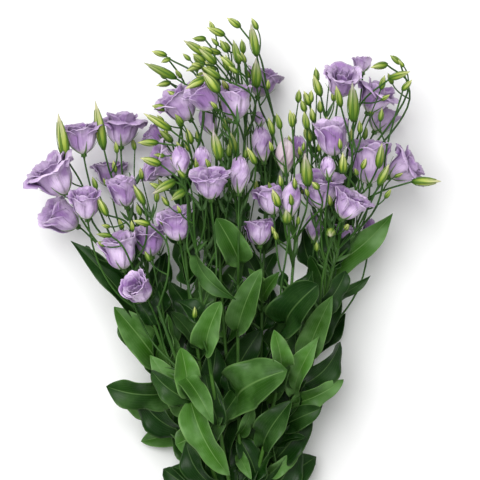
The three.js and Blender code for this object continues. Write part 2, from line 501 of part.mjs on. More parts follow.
/** One closed cup of overlapping petals with, in a larger bloom, a heart of inner petals. */
function bloomSolid(bloom, index, grow = 0) {
  const { axis, right, up } = bloomFrame(bloom);
  const base = vector(bloom.base);
  const form = FORMS[bloom.form];
  const heart = { ...form, middle: form.middle * 0.4, rim: form.rim * 0.4 };
  const petals = petalCount(bloom);
  const columns = [];
  for (let k = 0; k < petals; k += 1) {
    const start = (360 * k) / petals + 57 * index;
    const turns = [SEAM_ANGLE / 2, 180 / petals, 360 / petals - SEAM_ANGLE / 2];
    turns.forEach((turn, part) => {
      const ripple = Math.sin(2.3 * k + 1.7 * index + 2 * part);
      columns.push({ angle: degrees(start + turn), edge: part - 1, ripple });
    });
  }
  const closed = bloom.form === 'closed';
  const rings = ringsOf(bloom);
  const positions = [];
  for (const ring of rings) {
    const overlap = closed ? Math.sin(Math.PI * ring.share) : Math.min(1, ring.share / PETAL_KNEE);
    const shape = ring.whorl === 0 ? form : heart;
    const length = bloom.petal * (ring.whorl === 0 ? 1 : HEART_SHARE);
    for (const column of columns) {
      const shoulder = ring.share === 1 && column.edge !== 0 && !closed ? PETAL_SHOULDER : 1;
      const { radius, height, angle } = petalProfile(shape, length, ring.share * shoulder);
      const depth = ring.side === 0 ? -grow : PETAL_THICKNESS + grow;
      const step = PETAL_STEP * column.edge * overlap;
      const ruffle = form.ruffle * ring.share ** 3 * column.ripple;
      const inset = ring.whorl * (PETAL_THICKNESS + 0.9);
      const out = (radius + step + ruffle - inset) - depth * Math.cos(angle);
      const along = height + depth * Math.sin(angle) + inset * Math.sin(angle);
      positions.push(base.clone()
        .addScaledVector(right, Math.cos(column.angle) * out)
        .addScaledVector(up, Math.sin(column.angle) * out)
        .addScaledVector(axis, along));
    }
  }
  const runsBack = (i) => rings[i + 1].side === 1 && rings[i + 1].share < rings[i].share;
  return ringSolid(positions, columns.length, runsBack);
}

// ---------------------------------------------------------------- stems, calyces and buds

const stalkRadii = (route) => route.map((_, i) => (
  mix(BRANCH_RADIUS_START, BRANCH_RADIUS_END, i / (route.length - 1))
));

/** Stalk of a bloom with its calyx, in one piece. */
function bloomStalk(bloom, route, grow) {
  const { axis } = bloomFrame(bloom);
  const base = vector(bloom.base);
  const calyx = [CALYX_LENGTH * 0.45, SEAT_GAP].map((d) => base.clone().addScaledVector(axis, -d));
  const radii = [...stalkRadii(route), CALYX_RADIUS, CALYX_RADIUS * 0.8];
  return sweep([...route, ...calyx], radii, BLOOM_STALK_SIDES, grow);
}

/** Stalk of a bud with the bud, in one piece. */
function budStalk(bud, route, grow) {
  const base = vector(bud.base);
  const tip = vector(bud.tip);
  const swell = [0.3, 0.64, 1].map((s) => base.clone().lerp(tip, s));
  const widths = [0.5, 0.36, 0.06].map((w) => w * bud.width);
  const sides = bud.width > SMALL_BUD_WIDTH ? BUD_STALK_SIDES : SMALL_BUD_SIDES;
  return sweep([...route, ...swell], [...stalkRadii(route), ...widths], sides, grow);
}

/** Bow that leaves a stem at a fork's angle and ends along the axis of what it bears. */
function branchRoute(start, direction, end, axis, steps) {
  const reach = start.distanceTo(end) * 0.36;
  const leaving = outwardFrom(start, direction, end).multiplyScalar(FORK_SLOPE).add(direction).normalize();
  const curve = new THREE.CubicBezierCurve3(
    start,
    start.clone().addScaledVector(leaving, reach),
    end.clone().addScaledVector(axis, -reach),
    end,
  );
  return curve.getPoints(steps);
}

/** Direction from a line out to a point, square to the line. */
function outwardFrom(start, direction, target) {
  const way = target.clone().sub(start);
  return way.addScaledVector(direction, -way.dot(direction)).normalize();
}

function stemPoints(stem) {
  const [across, upwards] = stem.slot;
  const lane = upwards * STEM_PITCH * Math.sin(Math.PI / 3);
  const place = (y, spread) => new THREE.Vector3(across * STEM_PITCH * spread, y, TIE_OUTER + lane * spread);
  const footY = 2 + 3 * Math.abs(across) + 2 * Math.abs(upwards);
  const halfTie = TIE_WIDTH / 2 + 1;
  const straight = [place(footY, FOOT_SPREAD), place(BUNCH_LENGTH_TO_TIE - halfTie, 1)];
  const above = [place(BUNCH_LENGTH_TO_TIE + halfTie, 1), ...stem.route.map(vector)];
  const curve = new THREE.CatmullRomCurve3(above, false, 'centripetal');
  return [...straight, ...curve.getPoints(STEM_STEPS_PER_SPAN * stem.route.length)];
}

// ---------------------------------------------------------------- leaves

const LEAF_ROWS = [0, 0.22, 0.5, 0.8, 1];
const LEAF_WIDTHS = [0.05, 0.86, 1, 0.56, 0.05];

/** Share of the greatest width at share v of the leaf's length. */
function leafWidth(v) {
  const at = THREE.MathUtils.clamp(v, 0, 1);
  const k = Math.max(1, LEAF_ROWS.findIndex((row) => row >= at));
  const share = (at - LEAF_ROWS[k - 1]) / (LEAF_ROWS[k] - LEAF_ROWS[k - 1]);
  return mix(LEAF_WIDTHS[k - 1], LEAF_WIDTHS[k], share);
}

function leafSolid(leaf, base, index, grow = 0) {
  const tip = vector(leaf.tip);
  const length = base.distanceTo(tip);
  const along = tip.clone().sub(base).normalize();
  const face = new THREE.Vector3(0, 0, 1).addScaledVector(along, -along.z).normalize();
  face.applyAxisAngle(along, degrees(leaf.roll));
  const side = Math.sign(tip.z - base.z);
  const root = base.clone().addScaledVector(face, side * LEAF_ROOT_OFFSET);
  const knee = base.clone().lerp(tip, 0.5).addScaledVector(face, 2 * side * leaf.arch * length);
  const midrib = new THREE.QuadraticBezierCurve3(root, knee, tip);
  const surface = (u, v) => {
    const row = THREE.MathUtils.clamp(v, 0, 1) * (LEAF_ROWS.length - 1);
    const k = Math.min(Math.floor(row), LEAF_ROWS.length - 2);
    const at = mix(LEAF_ROWS[k], LEAF_ROWS[k + 1], row - k);
    const tangent = midrib.getTangent(at);
    const normal = face.clone().addScaledVector(tangent, -face.dot(tangent)).normalize();
    const across = tangent.clone().cross(normal);
    const half = (leafWidth(at) * leaf.width) / 2;
    const wave = leaf.wave * Math.abs(u) * leafWidth(at) * Math.sin(9 * at + index + Math.sign(u));
    const rise = Math.abs(u) * half * Math.sin(degrees(leaf.fold)) + wave;
    return midrib.getPoint(at)
      .addScaledVector(across, u * half * Math.cos(degrees(leaf.fold)))
      .addScaledVector(normal, rise);
  };
  return blade(surface, 2, LEAF_ROWS.length - 1, LEAF_THICKNESS + 2 * grow);
}

// ---------------------------------------------------------------- cutting clear

const boxOf = (solid) => {
  const { min, max } = solid.boundingBox();
  return new THREE.Box3(vector(min), vector(max));
};

/** The solid without what the others fill. */
function cutClear(solid, others) {
  let result = solid;
  for (const other of others) {
    if (boxOf(result).intersectsBox(boxOf(other))) {
      result = result.subtract(other);
    }
  }
  return result;
}

/** The largest connected body of a solid, without the scraps that a cut leaves. */
function largestBody(solid) {
  const mesh = solid.getMesh();
  const parent = Array.from({ length: mesh.numVert }, (_, i) => i);
  const rootOf = (i) => {
    let at = i;
    while (parent[at] !== at) {
      parent[at] = parent[parent[at]];
      at = parent[at];
    }
    return at;
  };
  for (let t = 0; t < mesh.numTri; t += 1) {
    const [a, b, c] = mesh.triVerts.subarray(3 * t, 3 * t + 3);
    parent[rootOf(a)] = rootOf(b);
    parent[rootOf(b)] = rootOf(c);
  }
  const bodies = new Map();
  for (let t = 0; t < mesh.numTri; t += 1) {
    const root = rootOf(mesh.triVerts[3 * t]);
    bodies.set(root, [...(bodies.get(root) ?? []), ...mesh.triVerts.subarray(3 * t, 3 * t + 3)]);
  }
  const corner = (i) => vector(mesh.vertProperties.subarray(mesh.numProp * i, mesh.numProp * i + 3));
  const volumeOf = (list) => {
    let volume = 0;
    for (let t = 0; t < list.length; t += 3) {
      volume += corner(list[t]).dot(corner(list[t + 1]).cross(corner(list[t + 2]))) / 6;
    }
    return volume;
  };
  const largest = [...bodies.values()].sort((p, q) => volumeOf(q) - volumeOf(p))[0];
  const used = [...new Set(largest)];
  const number = new Map(used.map((v, i) => [v, i]));
  const triangles = [];
  for (let t = 0; t < largest.length; t += 3) {
    triangles.push([number.get(largest[t]), number.get(largest[t + 1]), number.get(largest[t + 2])]);
  }
  return solidOf(used.map(corner), triangles);
}

// ---------------------------------------------------------------- building the bunch

/** Slab under the table's surface: what would sink into it is pressed flat. */
function tableSlab() {
  const corners = [];
  for (const z of [-80, 0]) {
    corners.push([-400, -100, z], [400, -100, z], [400, 900, z], [-400, 900, z]);
  }
  const triangles = [
    [0, 2, 1], [0, 3, 2], [4, 5, 6], [4, 6, 7], [0, 1, 5], [0, 5, 4],
    [1, 2, 6], [1, 6, 5], [2, 3, 7], [2, 7, 6], [3, 0, 4], [3, 4, 7],
  ];
  return solidOf(corners.map(vector), triangles);
}

function tieSolid() {
  const ring = (apothem) => {
    const radius = apothem / Math.cos(Math.PI / TIE_SIDES);
    return Array.from({ length: TIE_SIDES }, (_, k) => {
      const angle = (2 * Math.PI * (k + 0.5)) / TIE_SIDES;
      return new THREE.Vector2(radius * Math.sin(angle), radius * Math.cos(angle));
    });
  };
  const positions = [];
  for (const y of [-TIE_WIDTH / 2, TIE_WIDTH / 2]) {
    for (const apothem of [TIE_OUTER, TIE_INNER]) {
      for (const p of ring(apothem)) {
        positions.push(new THREE.Vector3(p.x, BUNCH_LENGTH_TO_TIE + y, TIE_OUTER + p.y));
      }
    }
  }
  const triangles = [];
  const wall = (p, q, n) => {
    const next = (n + 1) % TIE_SIDES;
    triangles.push([p + n, q + n, q + next], [p + n, q + next, p + next]);
  };
  for (let n = 0; n < TIE_SIDES; n += 1) {
    wall(0, TIE_SIDES, n);
    wall(TIE_SIDES, 3 * TIE_SIDES, n);
    wall(3 * TIE_SIDES, 2 * TIE_SIDES, n);
    wall(2 * TIE_SIDES, 0, n);
  }
  return solidOf(positions, triangles);
}

/** Spreads the forks of neighbouring stalks along their stem, by the golden ratio. */
const forkShare = (index) => 0.72 + 0.56 * ((index * 0.618) % 1);

function planBunch() {
  const obstacles = [];
  const spines = new Map();
  for (const stem of STEMS) {
    const points = bendClear(stemPoints(stem), STEM_RADIUS_FOOT, obstacles, stem.name, '', TIED_POINTS);
    spines.set(stem.name, points);
    const bars = segmentsOf(points, STEM_RADIUS_FOOT, stem.name, 'spine');
    obstacles.push(...bars.map((bar) => ({ ...bar, part: 0 })));
  }
  for (const bloom of BLOOMS) {
    const { axis } = bloomFrame(bloom);
    const { radius, height } = petalProfile(FORMS[bloom.form], bloom.petal, 1);
    const base = vector(bloom.base);
    const from = base.clone().addScaledVector(axis, height * 0.35);
    const to = base.clone().addScaledVector(axis, height * 0.85);
    obstacles.push({ from, to, radius: radius * 0.9, owner: 'bloom', name: bloom.name });
  }
  for (const bud of BUDS) {
    const name = `bud of ${bud.on}`;
    const span = { from: vector(bud.base), to: vector(bud.tip) };
    obstacles.push({ ...span, radius: bud.width / 2, owner: bud.on, name });
  }
  const branchTo = (row, end, axis, drop, own) => {
    const { point, direction } = pointAtHeight(spines.get(row.on), row.base[1] - drop);
    point.addScaledVector(outwardFrom(point, direction, end), ROOT_OFFSET);
    const short = !own && point.distanceTo(end) < LONG_BUD_STALK;
    const route = branchRoute(point, direction, end, axis, short ? BUD_STALK_STEPS : STALK_STEPS);
    const bent = bendClear(route, BRANCH_RADIUS_START, obstacles, row.on, own);
    obstacles.push(...segmentsOf(bent, BRANCH_RADIUS_START, row.on, row.on));
    return bent;
  };
  const bloomBranches = BLOOMS.map((bloom, i) => {
    const { axis } = bloomFrame(bloom);
    const end = vector(bloom.base).addScaledVector(axis, -CALYX_LENGTH);
    return branchTo(bloom, end, axis, BLOOM_DROP * forkShare(i), bloom.name);
  });
  const budBranches = BUDS.map((bud, i) => {
    const axis = vector(bud.tip).sub(vector(bud.base)).normalize();
    const end = vector(bud.base).addScaledVector(axis, 1);
    return branchTo(bud, end, axis, BUD_DROP * forkShare(i), '');
  });
  return { spines, bloomBranches, budBranches };
}

/** Stem, branches, calyces and buds of one stem, fused. */
function skeletonSolid(stem, plan, grow) {
  const spine = plan.spines.get(stem.name);
  const radii = spine.map((_, i) => mix(STEM_RADIUS_FOOT, STEM_RADIUS_TOP, i / (spine.length - 1)));
  let solid = sweep(spine, radii, STEM_SIDES, grow);
  BLOOMS.forEach((bloom, i) => {
    if (bloom.on === stem.name) {
      solid = solid.add(bloomStalk(bloom, plan.bloomBranches[i], grow));
    }
  });
  BUDS.forEach((bud, i) => {
    if (bud.on === stem.name) {
      solid = solid.add(budStalk(bud, plan.budBranches[i], grow));
    }
  });
  return solid;
}

function meshOf(name, solid, material) {
  const mesh = solid.getMesh();
  const geometry = new THREE.BufferGeometry();
  geometry.setAttribute('position', new THREE.BufferAttribute(mesh.vertProperties, 3));
  geometry.setIndex(new THREE.BufferAttribute(mesh.triVerts, 1));
  geometry.computeVertexNormals();
  const result = new THREE.Mesh(geometry, material);
  result.name = name;
  return result;
}

/** Moves the origin to the middle of the bunch's box, on the table. */
function centred(bunch) {
  const centre = new THREE.Box3().setFromObject(bunch).getCenter(new THREE.Vector3());
  for (const piece of bunch.children) {
    piece.geometry.translate(-centre.x, -centre.y, 0);
  }
  return bunch;
}

function buildBunch() {
  const bunch = new THREE.Group();
  const table = tableSlab();
  const plan = planBunch();
  const skeletons = STEMS.map((stem) => skeletonSolid(stem, plan, 0));
  const grownSkeletons = STEMS.map((stem) => skeletonSolid(stem, plan, CUT_GAP));
  const grownLeaves = [];
  STEMS.forEach((stem, s) => {
    let green = cutClear(skeletons[s], [table, ...grownSkeletons.slice(0, s)]);
    const inTheWay = [table, ...grownSkeletons.filter((_, other) => other !== s), ...grownLeaves];
    const ownGrown = [];
    LEAVES.forEach((leaf, i) => {
      if (leaf.on === stem.name) {
        const { point } = pointAtHeight(plan.spines.get(stem.name), leaf.from);
        green = green.add(largestBody(cutClear(leafSolid(leaf, point, i), inTheWay)));
        ownGrown.push(leafSolid(leaf, point, i, CUT_GAP));
      }
    });
    grownLeaves.push(...ownGrown);
    bunch.add(meshOf(stem.name, largestBody(green), STEM));
  });
  const grownBlooms = [];
  BLOOMS.forEach((bloom, i) => {
    const inTheWay = [table, ...grownSkeletons, ...grownLeaves, ...grownBlooms];
    const solid = cutClear(bloomSolid(bloom, i), inTheWay);
    grownBlooms.push(bloomSolid(bloom, i, CUT_GAP));
    bunch.add(meshOf(bloom.name, largestBody(solid), bloom.pale ? PALE_PETAL : PETAL));
  });
  bunch.add(meshOf('tie', tieSolid(), RAFFIA));
  return centred(bunch);
}

export default buildBunch();
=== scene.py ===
"""Loose tied bunch of lavender double lisianthus, laid down on a pale table.

Twelve leafy stems fan out from a raffia tie. The bunch lies along +Y, with its flowers at the far end, and
+Z is up from the table. Rows and sizes are in millimetres in the bunch's own layout, where x = 0 is the
tie's axis and y = 0 the cut ends; meshes are built in metres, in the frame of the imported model.
"""

import logging
import math
from collections.abc import Callable
from dataclasses import dataclass, field
from enum import Enum

import bpy
import numpy as np
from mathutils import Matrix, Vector


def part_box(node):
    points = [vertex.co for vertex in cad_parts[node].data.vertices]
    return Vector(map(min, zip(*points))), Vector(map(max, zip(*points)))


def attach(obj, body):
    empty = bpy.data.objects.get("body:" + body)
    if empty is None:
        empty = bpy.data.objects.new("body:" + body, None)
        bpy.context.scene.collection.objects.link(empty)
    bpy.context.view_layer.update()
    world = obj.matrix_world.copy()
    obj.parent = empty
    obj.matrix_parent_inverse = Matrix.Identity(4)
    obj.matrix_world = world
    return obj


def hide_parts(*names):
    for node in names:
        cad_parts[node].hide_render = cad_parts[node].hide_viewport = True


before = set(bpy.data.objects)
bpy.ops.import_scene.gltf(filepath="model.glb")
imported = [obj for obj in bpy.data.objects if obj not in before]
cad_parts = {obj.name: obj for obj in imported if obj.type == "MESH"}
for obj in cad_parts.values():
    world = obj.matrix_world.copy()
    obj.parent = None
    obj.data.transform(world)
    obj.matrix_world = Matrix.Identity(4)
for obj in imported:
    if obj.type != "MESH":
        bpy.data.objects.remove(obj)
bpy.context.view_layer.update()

LOG = logging.getLogger("lisianthus")
MM = 0.001
BODY = "root"

Point = tuple[float, float, float]
Colour = tuple[float, float, float]
Array = np.ndarray

UPWARD = (0.0, 0.0, 1.0)
GOLDEN = 0.618

# ---------------- driving dimensions, in millimetres

TIE_DISTANCE = 70.0
TIE_WIDTH = 12.0
TIE_OUTER = 16.2
STEM_PITCH = 6.1
LAYER_PITCH = math.sin(math.pi / 3)
STEM_RADIUS_FOOT = 2.9
STEM_RADIUS_TOP = 1.7
STEM_STEPS_PER_SPAN = 2
FOOT_SPREAD = 1.35
FOOT_FIRST = 2.0
FOOT_STAGGER = (3.0, 2.0)
TIED_MARGIN = 1.0

BRANCH_RADIUS_START = 1.35
BRANCH_RADIUS_END = 1.05
STALK_STEPS = 3
BUD_STALK_STEPS = 2
LONG_BUD_STALK = 60.0
CALYX_LENGTH = 8.0
CALYX_RADIUS = 3.4
SEAT_GAP = 0.3
PETAL_ROOT_RADIUS = 2.8
PETAL_WAIST = 0.45
PETAL_FLARE = 1.3
PETAL_STEPS = 12
LEAF_ROOT_OFFSET = 1.8

BLOOM_TURN = 57.0
OVERLAP_FULL = 0.4
BLOOM_ROOM = (0.35, 0.85)
BLOOM_ROOM_WIDTH = 0.9
BLOOM_DROP = 105.0
BUD_DROP = 62.0
SHOOT_DROP = 165.0
FORK_LOWEST = 0.72
FORK_RANGE = 0.56
FORK_SLOPE = 1.1
FORK_REACH = 0.36
ROOT_OFFSET = 1.3
TABLE_CLEARANCE = 0.05
SIDE_STALK = 22.0
SIDE_STALK_LIFT = 0.35
SIDE_STALK_KNEE = (0.5, 0.55)
SIDE_STALK_END = (1.0, 0.62)
SIDE_BUD_LENGTH = 13.0
SIDE_BUD_WIDTH = 4.6
SIDE_BUD_SIZES = (0.8, 0.4)
TIED_POINTS = 3
BEND_ROUNDS = 60
BEND_CLEARANCE = 0.7
BEND_RATE = 0.9
BEND_EVENING = 0.12


class Form(Enum):
    """How far a bloom is open: its petals' angles to the axis at root, middle and rim, and their ruffle."""

    CLOSED = (34.0, 8.0, -50.0, 0.8)
    CUP = (70.0, 6.0, 23.0, 1.8)
    BELL = (66.0, 12.0, 54.0, 2.6)


CLOSED, CUP, BELL = Form


@dataclass(frozen=True)
class StemRow:
    """A stem: its place in the tie, in pitches across and up, and the route that it takes above it."""

    name: str
    slot: tuple[float, float]
    route: tuple[Point, ...]


@dataclass(frozen=True)
class BloomRow:
    """A bloom: its seat, its axis in plan and above the table in degrees, and an outer petal's length."""

    name: str
    on: str
    base: Point
    heading: float
    lift: float
    form: Form
    petal: float
    pale: bool = False


@dataclass(frozen=True)
class BudRow:
    """A closed bud: its base, its tip and its greatest width."""

    on: str
    base: Point
    tip: Point
    width: float

    def ends(self) -> tuple[Array, Array]:
        """Its base and its tip, ready to be reckoned with."""
        return np.array(self.base, float), np.array(self.tip, float)


@dataclass(frozen=True)
class LeafRow:
    """A leaf: how far along the bunch it clasps its stem, its tip, and the shape of its blade."""

    on: str
    height: float
    tip: Point
    width: float
    roll: float
    arch: float
    fold: float
    wave: float


def stem_name(number: int) -> str:
    """Name of a stem by its number."""
    return f"stem_{number:02d}"


STEM_ROWS = (
    ((-1.5, -0.5), ((-46, 150, 38), (-84, 250, 66), (-122, 350, 88), (-150, 430, 98))),
    ((-1, 0.5), ((-40, 150, 58), (-72, 250, 96), (-108, 350, 118), (-140, 420, 122))),
    ((-1, -1.5), ((-38, 150, 24), (-70, 250, 34), (-104, 360, 46), (-128, 470, 52))),
    ((-0.5, 1.5), ((-30, 150, 72), (-56, 240, 118), (-84, 320, 136), (-98, 360, 136))),
    ((-0.5, -0.5), ((-22, 150, 42), (-44, 260, 62), (-62, 380, 78), (-72, 500, 84))),
    ((0.5, 1.5), ((-14, 150, 80), (-30, 250, 132), (-44, 350, 150), (-52, 430, 150))),
    ((0, -1.5), ((-8, 150, 28), (-14, 260, 40), (-24, 400, 52), (-30, 590, 62))),
    ((0, 0.5), ((0, 150, 60), (-2, 260, 92), (-2, 400, 104), (8, 600, 78))),
    ((0.5, -0.5), ((12, 150, 40), (24, 260, 52), (28, 400, 52), (42, 590, 36))),
    ((1, 0.5), ((20, 150, 64), (42, 250, 104), (58, 350, 120), (66, 440, 112))),
    ((1, -1.5), ((28, 150, 30), (58, 250, 40), (92, 370, 52), (126, 520, 72))),
    ((1.5, -0.5), ((34, 150, 48), (66, 250, 78), (96, 350, 100), (118, 430, 112))),
)
BLOOM_ROWS = (
    (1, (-208, 493, 118), 124, 14, BELL, 60),
    (2, (-197, 455, 84), 148, 20, CUP, 51),
    (1, (-188, 542, 92), 96, 8, BELL, 47),
    (3, (-144, 552, 66), 88, 6, BELL, 50),
    (3, (-158, 503, 20), 96, -2, BELL, 40),
    (2, (-136, 479, 96), 104, 14, CUP, 42),
    (2, (-181, 464, 138), 96, 20, CUP, 42),
    (7, (-60, 584, 92), 128, 12, CUP, 50),
    (8, (-31, 595, 142), 134, 18, CUP, 44),
    (8, (-4, 582, 124), 96, 14, CUP, 48),
    (7, (-32, 566, 86), 114, 4, CLOSED, 36),
    (5, (-96, 558, 52), 145, 0, CUP, 26),
    (5, (-74, 524, 102), 160, 16, BELL, 44),
    (5, (-98, 518, 50), 165, 0, CUP, 26),
    (6, (-67, 515, 150), 100, 8, CLOSED, 38),
    (6, (-43, 517, 122), 96, 4, CLOSED, 36),
    (6, (-34, 487, 164), 92, 22, BELL, 43),
    (6, (-72, 438, 132), 100, 18, CUP, 46),
    (4, (-106, 419, 98), 99, 10, CUP, 44),
    (4, (-138, 404, 132), 103, 14, CUP, 50),
    (4, (-112, 370, 150), 128, 44, CUP, 40),
    (7, (12, 358, 20), 96, 0, CUP, 42),
    (9, (22, 614, 44), 72, 4, CUP, 42),
    (11, (118, 610, 118), 80, 30, BELL, 44),
    (11, (148, 642, 66), 92, 4, CUP, 22),
    (11, (154, 592, 96), 62, 10, BELL, 46),
    (11, (166, 572, 19), 60, -2, CUP, 39),
    (12, (112, 539, 128), 97, 16, CUP, 50),
    (12, (155, 506, 104), 92, 10, CUP, 62),
    (11, (181, 514, 92), 32, 8, BELL, 46),
    (9, (29, 533, 76), 97, 4, CLOSED, 46),
    (9, (24, 577, 62), 90, 0, CLOSED, 18),
    (10, (72, 536, 98), 95, 4, CLOSED, 30),
    (10, (55, 518, 122), 92, 10, CLOSED, 46, True),
    (12, (96, 476, 124), 92, 20, BELL, 53),
    (12, (121, 464, 152), 62, 16, BELL, 42),
    (10, (40, 469, 96), 97, 6, CUP, 42),
    (10, (60, 466, 146), 88, 6, CLOSED, 45),
    (12, (104, 512, 166), 92, 6, CLOSED, 26),
    (9, (24, 432, 84), 95, 4, CUP, 38),
    (10, (89, 438, 84), 90, 4, CLOSED, 36),
    (12, (121, 432, 78), 85, 6, CUP, 30),
    (11, (157, 442, 66), 88, 4, CLOSED, 24),
    (8, (-1, 494, 132), 88, 6, CLOSED, 48),
)
BUD_ROWS = (
    (1, (-208, 535, 112), (-217, 589, 120), 11),
    (3, (-164, 548, 92), (-174, 605, 96), 10),
    (2, (-157, 467, 150), (-169, 490, 156), 7),
    (2, (-114, 481, 122), (-127, 504, 128), 7),
    (2, (-152, 443, 150), (-170, 445, 154), 5),
    (4, (-107, 457, 142), (-127, 461, 146), 6),
    (5, (-89, 661, 78), (-107, 666, 80), 6),
    (5, (-84, 656, 98), (-95, 651, 100), 5),
    (5, (-77, 632, 108), (-115, 650, 112), 8),
    (5, (-84, 628, 84), (-101, 624, 84), 6),
    (5, (-88, 596, 98), (-106, 599, 100), 7),
    (5, (-83, 570, 118), (-115, 589, 122), 8),
    (5, (-98, 554, 124), (-122, 554, 126), 7),
    (5, (-82, 557, 76), (-98, 571, 76), 7),
    (7, (-58, 554, 104), (-64, 572, 106), 7),
    (6, (-94, 528, 148), (-118, 535, 152), 8),
    (6, (-77, 508, 168), (-103, 492, 174), 9),
    (6, (-65, 496, 184), (-81, 484, 188), 8),
    (7, (-42, 662, 92), (-68, 678, 94), 8),
    (7, (-42, 682, 66), (-58, 682, 66), 6),
    (8, (-19, 685, 88), (-40, 694, 90), 7),
    (9, (0, 696, 72), (-16, 707, 72), 7),
    (8, (-29, 649, 118), (-49, 666, 122), 8),
    (7, (-24, 664, 72), (-43, 670, 70), 6),
    (8, (-1, 649, 112), (-8, 677, 116), 8),
    (8, (-7, 642, 136), (-24, 656, 140), 7),
    (7, (-43, 647, 140), (-64, 638, 144), 7),
    (8, (-24, 630, 158), (-44, 642, 162), 7),
    (8, (-25, 612, 176), (-44, 635, 182), 10),
    (7, (-42, 628, 164), (-64, 616, 166), 8),
    (8, (-24, 533, 156), (-32, 568, 162), 10),
    (8, (-6, 542, 106), (-11, 567, 110), 8),
    (9, (20, 660, 92), (13, 698, 94), 9),
    (9, (20, 622, 96), (19, 656, 104), 10),
    (8, (19, 529, 122), (8, 549, 126), 7),
    (11, (97, 612, 92), (88, 637, 94), 8),
    (12, (84, 601, 82), (77, 618, 82), 7),
    (12, (119, 596, 156), (113, 620, 164), 7),
    (12, (134, 578, 160), (132, 623, 170), 11),
    (11, (176, 648, 112), (156, 644, 116), 7),
    (11, (193, 650, 96), (180, 660, 98), 6),
    (11, (178, 630, 134), (202, 638, 138), 7),
    (12, (193, 616, 136), (204, 628, 140), 6),
    (12, (80, 570, 132), (76, 591, 134), 7),
    (10, (84, 556, 118), (77, 574, 120), 7),
    (10, (40, 565, 102), (34, 585, 104), 6),
    (10, (48, 570, 146), (43, 588, 150), 6),
    (10, (62, 572, 148), (59, 592, 152), 6),
    (10, (80, 502, 162), (76, 540, 170), 11),
    (12, (122, 517, 156), (121, 541, 162), 8),
    (11, (164, 524, 144), (168, 553, 148), 8),
    (12, (164, 503, 152), (176, 528, 158), 8),
    (11, (206, 508, 118), (240, 508, 122), 9),
    (10, (46, 478, 158), (38, 498, 164), 8),
    (10, (92, 498, 184), (84, 506, 188), 6),
    (12, (108, 450, 150), (106, 442, 160), 9),
    (6, (-40, 344, 164), (-30, 357, 168), 3),
    (10, (56, 458, 168), (54, 474, 174), 9),
)
SHOOT_ROWS = (
    (7, (-22, 596, 62), (-23, 610, 64), 5),
    (7, (-13, 580, 50), (-12, 594, 50), 5),
    (8, (-17, 571, 74), (-19, 586, 76), 5),
    (8, (10, 604, 66), (12, 618, 68), 5),
    (9, (9, 566, 46), (7, 580, 46), 5),
    (8, (5, 506, 70), (4, 519, 72), 5),
    (9, (19, 498, 54), (20, 511, 54), 5),
    (6, (-13, 538, 112), (-14, 553, 114), 5),
    (5, (-50, 556, 80), (-53, 570, 82), 5),
    (5, (-61, 545, 92), (-66, 558, 94), 5),
    (6, (-51, 522, 128), (-53, 536, 130), 5),
    (5, (-92, 500, 84), (-99, 512, 86), 5),
    (10, (70, 604, 92), (71, 619, 94), 6),
    (12, (85, 604, 82), (86, 619, 84), 6),
    (12, (97, 592, 84), (96, 607, 86), 6),
    (12, (104, 572, 104), (104, 586, 106), 5),
    (11, (93, 630, 84), (91, 646, 86), 6),
    (10, (66, 578, 84), (64, 592, 86), 5),
    (11, (108, 632, 84), (109, 646, 86), 5),
    (12, (88, 580, 112), (85, 596, 116), 6),
    (12, (78, 592, 108), (73, 606, 112), 6),
    (11, (168, 618, 126), (172, 634, 130), 6),
    (8, (-31, 640, 112), (-42, 652, 114), 7),
    (7, (-42, 652, 92), (-57, 662, 94), 7),
    (8, (-15, 664, 100), (-24, 678, 102), 7),
    (8, (-33, 662, 104), (-48, 670, 106), 6),
    (8, (-13, 640, 130), (-17, 658, 134), 7),
    (8, (-38, 624, 150), (-52, 632, 154), 7),
    (9, (4, 664, 84), (2, 680, 86), 6),
    (1, (-172, 500, 104), (-177, 514, 106), 5),
    (1, (-150, 520, 84), (-153, 534, 84), 5),
    (3, (-119, 512, 62), (-121, 526, 62), 5),
    (2, (-119, 468, 104), (-124, 481, 106), 5),
    (2, (-141, 452, 94), (-146, 464, 96), 5),
    (3, (-128, 548, 54), (-131, 562, 54), 5),
    (11, (150, 560, 84), (153, 574, 86), 5),
    (12, (132, 556, 118), (133, 571, 120), 5),
)
